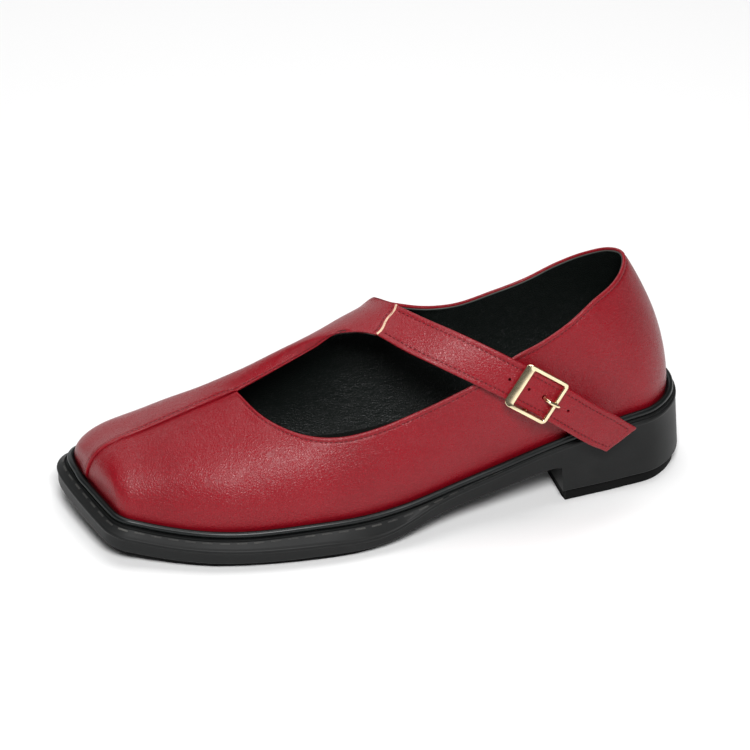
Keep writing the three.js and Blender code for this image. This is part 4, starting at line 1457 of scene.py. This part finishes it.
        rounded = [(3, thick - 0.12), (1.2, thick - 0.05), (0.5, thick - 0.08), (0.1, thick - 0.35)]
        square = [(0, thick - 0.8), (0, 0.3), (0.4, 0)]
        return self.layer("sock", place, [(inset + w, over_seat(z)) for w, z in rounded + square])

    def tread(self) -> bpy.types.Object:
        """Tread layer under the forefoot, with cross ribs."""
        last = self.last
        place = self.ring(lambda side: [last.place_at(side, self.tread_from), side * 1.0], [190])
        inset = self.tread_inset

        def top(x: Array) -> Array:
            """Upper face, a little below the side wall's lower edge."""
            return last.level("bottom", x) - last.gap

        def floor(x: Array) -> Array:
            """Face that stands on the floor."""
            return np.maximum(TREAD_LEVELS.read("floor", x), 0)

        def rib(x: Array) -> Array:
            """Floor with the hollows between the cross ribs."""
            return floor(x) + 0.7 * ease((np.sin(x * 2 * np.pi / self.tread_pitch) - 0.45) / 0.3)

        profile = [
            (inset + 0.3, top),
            (inset, lambda x: top(x) - 0.3),
            (inset, lambda x: np.minimum(floor(x) + 0.5, (top(x) + floor(x)) / 2)),
            (inset + 0.12, lambda x: np.minimum(floor(x) + 0.2, (top(x) + floor(x)) / 2)),
            (inset + 0.4, floor),
            (inset + 3.0, floor),
            (inset + 3.4, lambda x: np.minimum(rib(x), top(x) - 0.3)),
        ]
        return self.layer("tread", place, profile)

    def top_lift(self) -> bpy.types.Object:
        """Top-lift under the heel block."""
        last = self.last
        front = self.breast_x - 1.6
        place = self.ring(lambda side: [0, last.place_at(side, front)], [90])
        inset = self.lift_inset
        top = self.block_bottom - last.gap

        def at(z: float) -> Height:
            """The same height for every x."""
            return lambda x: 0 * x + z

        def rib(x: Array) -> Array:
            """Floor with the hollows between the cross ribs."""
            return 0.6 * ease((np.sin(x * 2 * np.pi / self.lift_pitch) - 0.45) / 0.3)

        profile = [
            (inset + 0.5, at(top)),
            (inset + 0.1, at(top - 0.15)),
            (inset, at(top - 0.5)),
            (inset, at(0.5)),
            (inset + 0.15, at(0.15)),
            (inset + 0.5, at(0)),
            (inset + 3.5, at(0)),
            (inset + 3.9, rib),
        ]
        return self.layer("top_lift", place, profile)

    def build(self) -> None:
        """Builds and dresses every piece of the sole."""
        report(self.body(), SOLE_RUBBER, Slot.SOLE, "sole_unit")
        # The dashes' pale grey material is a painted highlight.
        report(self.dashes(), PAINTED_HIGHLIGHT_DASH_RUBBER, Slot.SOLE)
        report(self.bead(), BEAD_RUBBER, Slot.BEAD, "welt_bead")
        report(self.sock(), SOCK_LEATHER, Slot.LINING, "insole")
        report(self.tread(), TREAD_RUBBER, Slot.TREAD, "forefoot_tread")
        report(self.top_lift(), TREAD_RUBBER, Slot.TREAD, "heel_top_lift")


@dataclass
class StrapPieces:
    """The strap with its holes, stitches and lining."""

    start: float = 0.03
    end: float = 9.0
    width: float = 16.0
    thickness: float = 1.8
    red_thick: float = 1.3
    stitch_inset: float = 2.3
    hole_radius: float = 0.65
    prong_hole_radius: float = 1.0
    holes: tuple[float, ...] = (4.05, 4.72, 6.12)
    chape_size: tuple[float, float, float] = (18.0, 10.0, 1.3)
    buckle_at: float = 4.95
    prong_at: float = 4.2

    def axes(self, t: Array) -> tuple[Array, Array, Array, Array, Array]:
        """Edges and directions of the outer face: high edge, low edge, across, along and out."""
        t = np.asarray(t, float)
        high, low = STRAP.point(t, "u"), STRAP.point(t, "l")

        def middle(at: Array) -> Array:
            """Middle line."""
            return (STRAP.point(at, "u") + STRAP.point(at, "l")) / 2

        across = unit(high - low)
        along = unit(middle(np.minimum(t + 0.1, self.end)) - middle(np.maximum(t - 0.1, 0)))
        return high, low, across, along, unit(np.cross(along, across))

    def matrix(self) -> Matrix:
        """The buckle's axes: x along the strap to its end, y across it, z out; place in metres."""
        high, low, across, along, out = self.axes(np.array(self.buckle_at))
        square = unit(across - along * (across @ along))
        middle = placed((high + low) / 2)
        made = Matrix.Identity(4)
        for k, axis in enumerate((along, square, out)):
            for row in range(3):
                made[row][k] = axis[row]
        for row in range(3):
            made[row][3] = middle[row]
        return made

    def edges(self, t: Array) -> tuple[Array, Array]:
        """Both edges after trimming to the strap's width, apart from the slanted end."""
        high, low, across, _, _ = self.axes(t)
        wide = np.linalg.norm(high - low, axis=-1)
        trim = ((wide - self.width) / 2 * (1 - ease((t - 7.9) / 0.8)))[:, None]
        return high - across * trim, low + across * trim

    def band(self, name: str, over: float, under: float, shrink: float, padded: bool) -> bpy.types.Object:
        """One layer of the strap.

        Args:
            name: the piece's name.
            over: height of its upper face over the strap's outer face.
            under: depth of its lower face.
            shrink: how far its edges stand in.
            padded: whether it has the ridge and groove of the stitch rows.

        Returns:
            The piece.
        """
        t = np.linspace(self.start, self.end, 230)
        high, low = self.edges(t)
        _, _, across, along, out = self.axes(t)
        wide = np.linalg.norm(high - low, axis=-1)[:, None]
        thick = over - under
        radius = min(0.5, thick / 2)
        near = radius * (1 - np.cos(np.linspace(0, np.pi / 2, 5)))
        fall = radius * (1 - np.sin(np.linspace(0, np.pi / 2, 5)))
        face = np.array([1.0, 1.4, 1.9, 2.3, 2.7, 3.3, 4.5, 6.2, 8.0])
        inset = np.concatenate([near, face])
        drop = np.concatenate([fall, np.zeros(len(face))])
        if padded:
            drop = drop + 0.17 * bump_at(inset, self.stitch_inset, 0.45) - 0.08 * bump_at(inset, 1.1, 0.5)
            drop = drop - 0.12 * ease((inset - 3) / 4)
        from_high = np.concatenate([inset, (self.width - inset[:-1])[::-1]])
        drop = np.concatenate([drop, drop[:-1][::-1]])
        back = np.array([0, 0.3, 4, self.width - 4, self.width - 0.3, self.width])
        back_drop = np.array([radius, 0.0, 0.0, 0.0, 0.0, radius])
        share = np.concatenate([from_high, back[::-1]])[None] / self.width
        depth = np.concatenate([-over + drop, (-under - back_drop)[::-1]])[None]
        end = ease((self.end - t) / 0.05)[:, None]
        pull = 0.35 * (1 - end)
        wave = 0.1 * np.sin(t * 2.1)[:, None] + 0.06 * np.sin(t * 5.3 + 1)[:, None]
        run = shrink + pull + share * (wide - 2 * shrink - 2 * pull)
        centre = -(over + under) / 2
        depth = centre + (depth - centre) * (1 - 0.5 * (1 - end)) + wave * padded * 0.5
        points = (
            high[:, None]
            - across[:, None] * run[..., None]
            - out[:, None] * depth[..., None]
            - along[:, None] * (shrink * (1 - end))[..., None]
        )
        return tube(name, points)

    def drill(self, made: bpy.types.Object, t: float, shift: float, radius: float) -> None:
        """Cuts one round hole through a layer, at a place along the strap plus a shift in millimetres."""
        high, low, _, along, out = self.axes(np.array(t))
        middle = placed((high + low) / 2 + along * shift)
        bpy.ops.object.select_all(action="DESELECT")
        bpy.ops.mesh.primitive_cylinder_add(vertices=24, radius=radius * MM, depth=8 * MM)
        tool = bpy.context.object
        square = Vector(out).to_track_quat("Z", "Y").to_matrix().to_4x4()
        tool.matrix_world = Matrix.Translation(Vector(middle)) @ square
        bpy.context.view_layer.update()
        cut = made.modifiers.new("hole", "BOOLEAN")
        cut.operation = "DIFFERENCE"
        cut.object = tool
        cut.solver = "EXACT"
        apply_modifiers(made)
        bpy.data.objects.remove(tool)

    def stitch_rows(self) -> bpy.types.Object:
        """Rows along both edges and across the end."""
        t = np.linspace(self.start + 0.12, self.end - 0.22, 500)
        high, low = self.edges(t)
        _, _, across, _, out = self.axes(t)
        inset = self.stitch_inset
        upper = high - across * inset - out * 0.02
        lower = low + across * inset - out * 0.02
        last = np.array([self.end - 0.2])
        ends = self.edges(last)
        _, _, end_across, _, end_out = self.axes(last)
        share = np.linspace(0, 1, 30)[:, None]
        first, second = ends[0] - end_across * inset, ends[1] + end_across * inset
        tail = first * (1 - share) + second * share - end_out * 0.02
        rows = [(upper, out), (lower, out), (tail, np.repeat(end_out, 30, axis=0))]
        made = [
            stitches(f"strap_row_{k}", line, normals, 2.0, (1.3, 0.4, 0.34), 20 + k)
            for k, (line, normals) in enumerate(rows)
        ]
        return join("strap_stitches", made)

    def chape(self, last: Last) -> bpy.types.Object:
        """Short leather tab that holds the buckle's centre bar against the quarter."""
        matrix = self.matrix()
        long, wide, thick = self.chape_size
        steps = 24
        loops = []
        for i in range(steps + 1):
            x = 1.5 + long * (i / steps - 0.6)
            across = []
            for k in np.linspace(-1, 1, 9):
                aim = matrix @ Vector((x * MM, k * wide / 2 * MM, -5 * MM))
                aim = np.array(aim) / MM - ORIGIN
                across.append(self.on_quarter(last, aim[0], aim[2]))
            at = np.array([a for a, _ in across])
            out = np.array([o for _, o in across])
            edge = np.array([0.5, 0.15, 0, 0, 0, 0, 0, 0.15, 0.5])[:, None]
            outer = at + out * (0.3 + thick - edge)
            inner = at + out * (0.3 + edge * 0.5)
            loops.append(np.concatenate([outer, inner[::-1]]))
        return smoothed(tube("chape_tab", np.array(loops)), 50)

    def on_quarter(self, last: Last, x: float, z: float) -> tuple[Array, Array]:
        """Point of the quarter's outer face with an x and z, and its normal."""
        place, up = 0.28, 0.6
        step = 1e-3
        for _ in range(12):
            tried = last.wall(np.array([place, place + step, place]), np.array([up, up, up + step]))
            here, by_place, by_up = tried[0], (tried[1] - tried[0]) / step, (tried[2] - tried[0]) / step
            dx, dz = x - here[0], z - here[2]
            det = by_place[0] * by_up[2] - by_up[0] * by_place[2]
            place += (dx * by_up[2] - by_up[0] * dz) / det
            up += (by_place[0] * dz - dx * by_place[2]) / det
        return last.wall(np.array(place), np.array(up)), last.normal(np.array(place), np.array(up))

    def build(self, last: Last) -> None:
        """Builds and dresses every piece of the strap."""
        red = self.band("strap_band", 0.0, -self.red_thick, 0.0, True)
        lining = self.band("strap_lining", -self.red_thick, -self.thickness, 0.25, False)
        for made in (red, lining):
            for t in self.holes:
                self.drill(made, t, 0.0, self.hole_radius)
            self.drill(made, self.buckle_at, self.prong_at, self.prong_hole_radius)
            smoothed(made, 40)
        report(red, RED_LEATHER, Slot.UPPER, "strap")
        report(lining, BLACK_LINING, Slot.UPPER)
        report(self.stitch_rows(), DARK_THREAD, Slot.UPPER)
        report(self.chape(last), RED_LEATHER, Slot.UPPER, "buckle_chape")


@dataclass
class Buckle:
    """The square frame with its centre bar, and the prong, in the buckle's own axes."""

    strap: StrapPieces
    long: float = 20.4
    wide: float = 19.8
    thick: float = 1.7
    bar: float = 1.7
    front_bar: float = 3.8
    corner: float = 2.2
    edge: float = 0.6
    slope: float = 0.35
    slope_reach: float = 2.3
    pin: float = 0.8
    bar_at: float = 1.5
    over: float = 0.45

    @property
    def bar_z(self) -> float:
        """Height of the centre bar's axis, under the strap."""
        return -self.strap.thickness - 0.3 - self.pin

    def ring(self) -> bpy.types.Object:
        """The rounded frame, raised from one plate."""
        bpy.ops.object.select_all(action="DESELECT")
        bpy.ops.mesh.primitive_plane_add(size=1)
        made = bpy.context.object
        made.scale = (self.long * MM, self.wide * MM, 1)
        bpy.ops.object.transform_apply(location=False, rotation=False, scale=True)
        bpy.ops.object.mode_set(mode="EDIT")
        bpy.ops.mesh.select_all(action="SELECT")
        bpy.ops.mesh.bevel(offset=self.corner * MM, segments=8, affect="VERTICES")
        bpy.ops.mesh.inset(thickness=self.bar * MM)
        bpy.ops.mesh.delete(type="FACE")
        bpy.ops.object.mode_set(mode="OBJECT")
        self.widen_front(made)
        bpy.ops.object.mode_set(mode="EDIT")
        bpy.ops.mesh.select_all(action="SELECT")
        bpy.ops.mesh.extrude_region_move(TRANSFORM_OT_translate={"value": (0, 0, self.thick * MM)})
        bpy.ops.mesh.select_all(action="SELECT")
        bpy.ops.mesh.normals_make_consistent(inside=False)
        bpy.ops.object.mode_set(mode="OBJECT")
        slope_from = (self.long / 2 - self.slope_reach) * MM
        for vertex in made.data.vertices:
            if vertex.co.x < -slope_from and vertex.co.z > 0.5 * self.thick * MM:
                vertex.co.z -= self.slope * (-vertex.co.x - slope_from)
        return bevelled(made, self.edge, 5, sharp=50)

    def widen_front(self, made: bpy.types.Object) -> None:
        """Moves the opening's edge in on the side of the instep, for the broad bar."""
        limit = (self.long / 2 - 0.6) * MM
        side = (self.wide / 2 - self.bar + 0.05) * MM
        for vertex in made.data.vertices:
            x, y, _ = vertex.co
            if x < 0 and abs(y) < side and x > -limit:
                vertex.co.x = x + (self.front_bar - self.bar) * MM

    def cylinder(self, radius: float, length: float, at: tuple[float, float, float]) -> bpy.types.Object:
        """A bar across the buckle with rounded ends."""
        bpy.ops.object.select_all(action="DESELECT")
        bpy.ops.mesh.primitive_cylinder_add(
            vertices=24,
            radius=radius * MM,
            depth=length * MM,
            location=tuple(v * MM for v in at),
            rotation=(math.pi / 2, 0, 0),
        )
        made = bpy.context.object
        bpy.ops.object.transform_apply(location=True, rotation=True, scale=True)
        return bevelled(made, 0.15, 2)

    def lug(self, side: int) -> bpy.types.Object:
        """A small arm from the frame down to the centre bar."""
        top = self.over + 0.8
        height = top - (self.bar_z - self.pin)
        bpy.ops.object.select_all(action="DESELECT")
        bpy.ops.mesh.primitive_cube_add(size=1)
        made = bpy.context.object
        made.scale = (2.4 * MM, (self.bar - 0.2) * MM, height * MM)
        y = side * (self.wide / 2 - self.bar / 2) * MM
        made.location = (self.bar_at * MM, y, (top - height / 2) * MM)
        bpy.ops.object.transform_apply(location=True, rotation=True, scale=True)
        return bevelled(made, 0.3, 3)

    def frame_piece(self) -> bpy.types.Object:
        """Frame, arms and centre bar as one."""
        ring = self.ring()
        settle(ring, Matrix.Translation(Vector((0, 0, self.over * MM))))
        bar = self.cylinder(self.pin, self.wide - self.bar, (self.bar_at, 0, self.bar_z))
        made = join("buckle_frame_gold", [ring, bar, self.lug(-1), self.lug(1)])
        settle(made, self.strap.matrix())
        return smoothed(made, 35)

    def prong(self) -> bpy.types.Object:
        """The prong, up through the strap's hole and over the frame's far bar."""
        z = self.bar_z
        hole = self.strap.prong_at
        rest = self.over + self.thick + 0.3 + self.pin
        route = Table(
            "x z",
            [
                (0, self.bar_at + 2 * self.pin + 0.3, z),
                (1, hole - 0.4, z + 0.3),
                (2, hole, -0.9),
                (3, hole + 0.5, 1.2),
                (4, hole + 2.2, rest),
                (5, self.long / 2 + 0.9, rest - 0.1),
            ],
        )
        t = np.linspace(0, 5, 60)
        x, z_at = route.read("x", t), route.read("z", t)
        run = unit(np.stack([np.gradient(x), np.gradient(z_at)], -1))
        tip = np.minimum(1, np.sqrt(np.clip((5 - t) / 0.25, 0, 1)) * 0.75 + 0.25)
        radius = self.pin * (1 - 0.12 * ease((t - 3) / 2)) * tip
        angle = np.linspace(0, 2 * np.pi, 20, endpoint=False)
        side, lift = np.cos(angle)[None], np.sin(angle)[None]
        px = x[:, None] - run[:, 1:] * lift * radius[:, None]
        pz = z_at[:, None] + run[:, :1] * lift * radius[:, None]
        py = -side * radius[:, None]
        loops = np.stack([px, py, pz], -1) - ORIGIN
        made = tube("buckle_prong_gold", loops)
        settle(made, self.strap.matrix())
        return smoothed(made, 50)

    def build(self) -> None:
        """Builds and dresses the buckle."""
        report(self.frame_piece(), PALE_GOLD, Slot.METAL, "buckle_frame")
        report(self.prong(), PALE_GOLD, Slot.METAL, "buckle_prong")


@dataclass
class Studio:
    """Camera, lights and floor."""

    azimuth: float = 16.976
    elevation: float = 33.452
    distance: float = 1703.1
    target: tuple[float, float, float] = (128.0, 0.0, 20.0)

    def camera(self) -> None:
        """The photograph's angle and framing."""
        a, e = math.radians(self.azimuth), math.radians(self.elevation)
        back = Vector((math.sin(a) * math.cos(e), math.cos(a) * math.cos(e), math.sin(e)))
        data = bpy.data.cameras.new("camera")
        data.lens = 199.49
        data.sensor_width = 36
        data.shift_x = -0.00331
        data.shift_y = 0.09785
        data.clip_start = 0.05
        data.clip_end = 20
        made = bpy.data.objects.new("camera", data)
        made.location = Vector(placed(self.target)) + back * self.distance * MM
        made.rotation_euler = back.to_track_quat("Z", "Y").to_euler()
        bpy.context.scene.collection.objects.link(made)
        bpy.context.scene.camera = made

    def softbox(self, name: str, at: Colour, aim: Colour, size: tuple[float, float], power: float) -> None:
        """A rectangular area light.

        Args:
            name: its name.
            at: place in metres.
            aim: point that it faces.
            size: width and height in metres.
            power: in watts.
        """
        data = bpy.data.lights.new(name, "AREA")
        data.shape = "RECTANGLE"
        data.size, data.size_y = size
        data.energy = power
        made = bpy.data.objects.new(name, data)
        made.location = at
        made.rotation_euler = (Vector(at) - Vector(aim)).to_track_quat("Z", "Y").to_euler()
        bpy.context.scene.collection.objects.link(made)

    def floor(self) -> None:
        """A plain white floor."""
        bpy.ops.object.select_all(action="DESELECT")
        bpy.ops.mesh.primitive_plane_add(size=14, location=(0, 0, -0.0002))
        made = bpy.context.object
        made.name = "floor"
        graph = Graph("white floor")
        graph.finish(Base_Color=(0.92, 0.92, 0.92), Roughness=0.9, Specular_IOR_Level=0.0)
        made.data.materials.append(graph.material)
        made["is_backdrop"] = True

    def build(self) -> None:
        """Sets the studio up."""
        self.camera()
        self.floor()
        self.softbox("key", (0.2, 1.05, 1.15), (0, 0, 0.03), (0.55, 0.4), 23)
        self.softbox("overhead", (-0.1, -0.3, 1.5), (0, 0, 0), (1.2, 0.9), 12)
        self.softbox("behind", (0.2, -1.8, 0.7), (0, 0, 0.03), (1.8, 0.6), 7)
        world = bpy.data.worlds.new("studio")
        world.use_nodes = True
        world.node_tree.nodes["Background"].inputs[0].default_value = (1, 1, 1, 1)
        world.node_tree.nodes["Background"].inputs[1].default_value = 0.12
        bpy.context.scene.world = world
        bpy.context.scene.view_settings.view_transform = "Standard"


def write_sizes() -> None:
    """Works out the box of the CAD model and that of the shown pieces."""
    boxes = {"cad": CAD_BOX, "shown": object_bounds()}
    {k: [list(v[0]), list(v[1])] for k, v in boxes.items()}


def main() -> None:
    """Builds the shoe piece by piece, then the studio."""
    logging.basicConfig(level=logging.INFO, format="%(message)s")
    last = Last()
    strap = StrapPieces()
    Studio().build()
    Sole(last).build()
    Upper(last).build()
    strap.build(last)
    Buckle(strap).build()
    write_sizes()


if __name__ == "__main__":
    main()
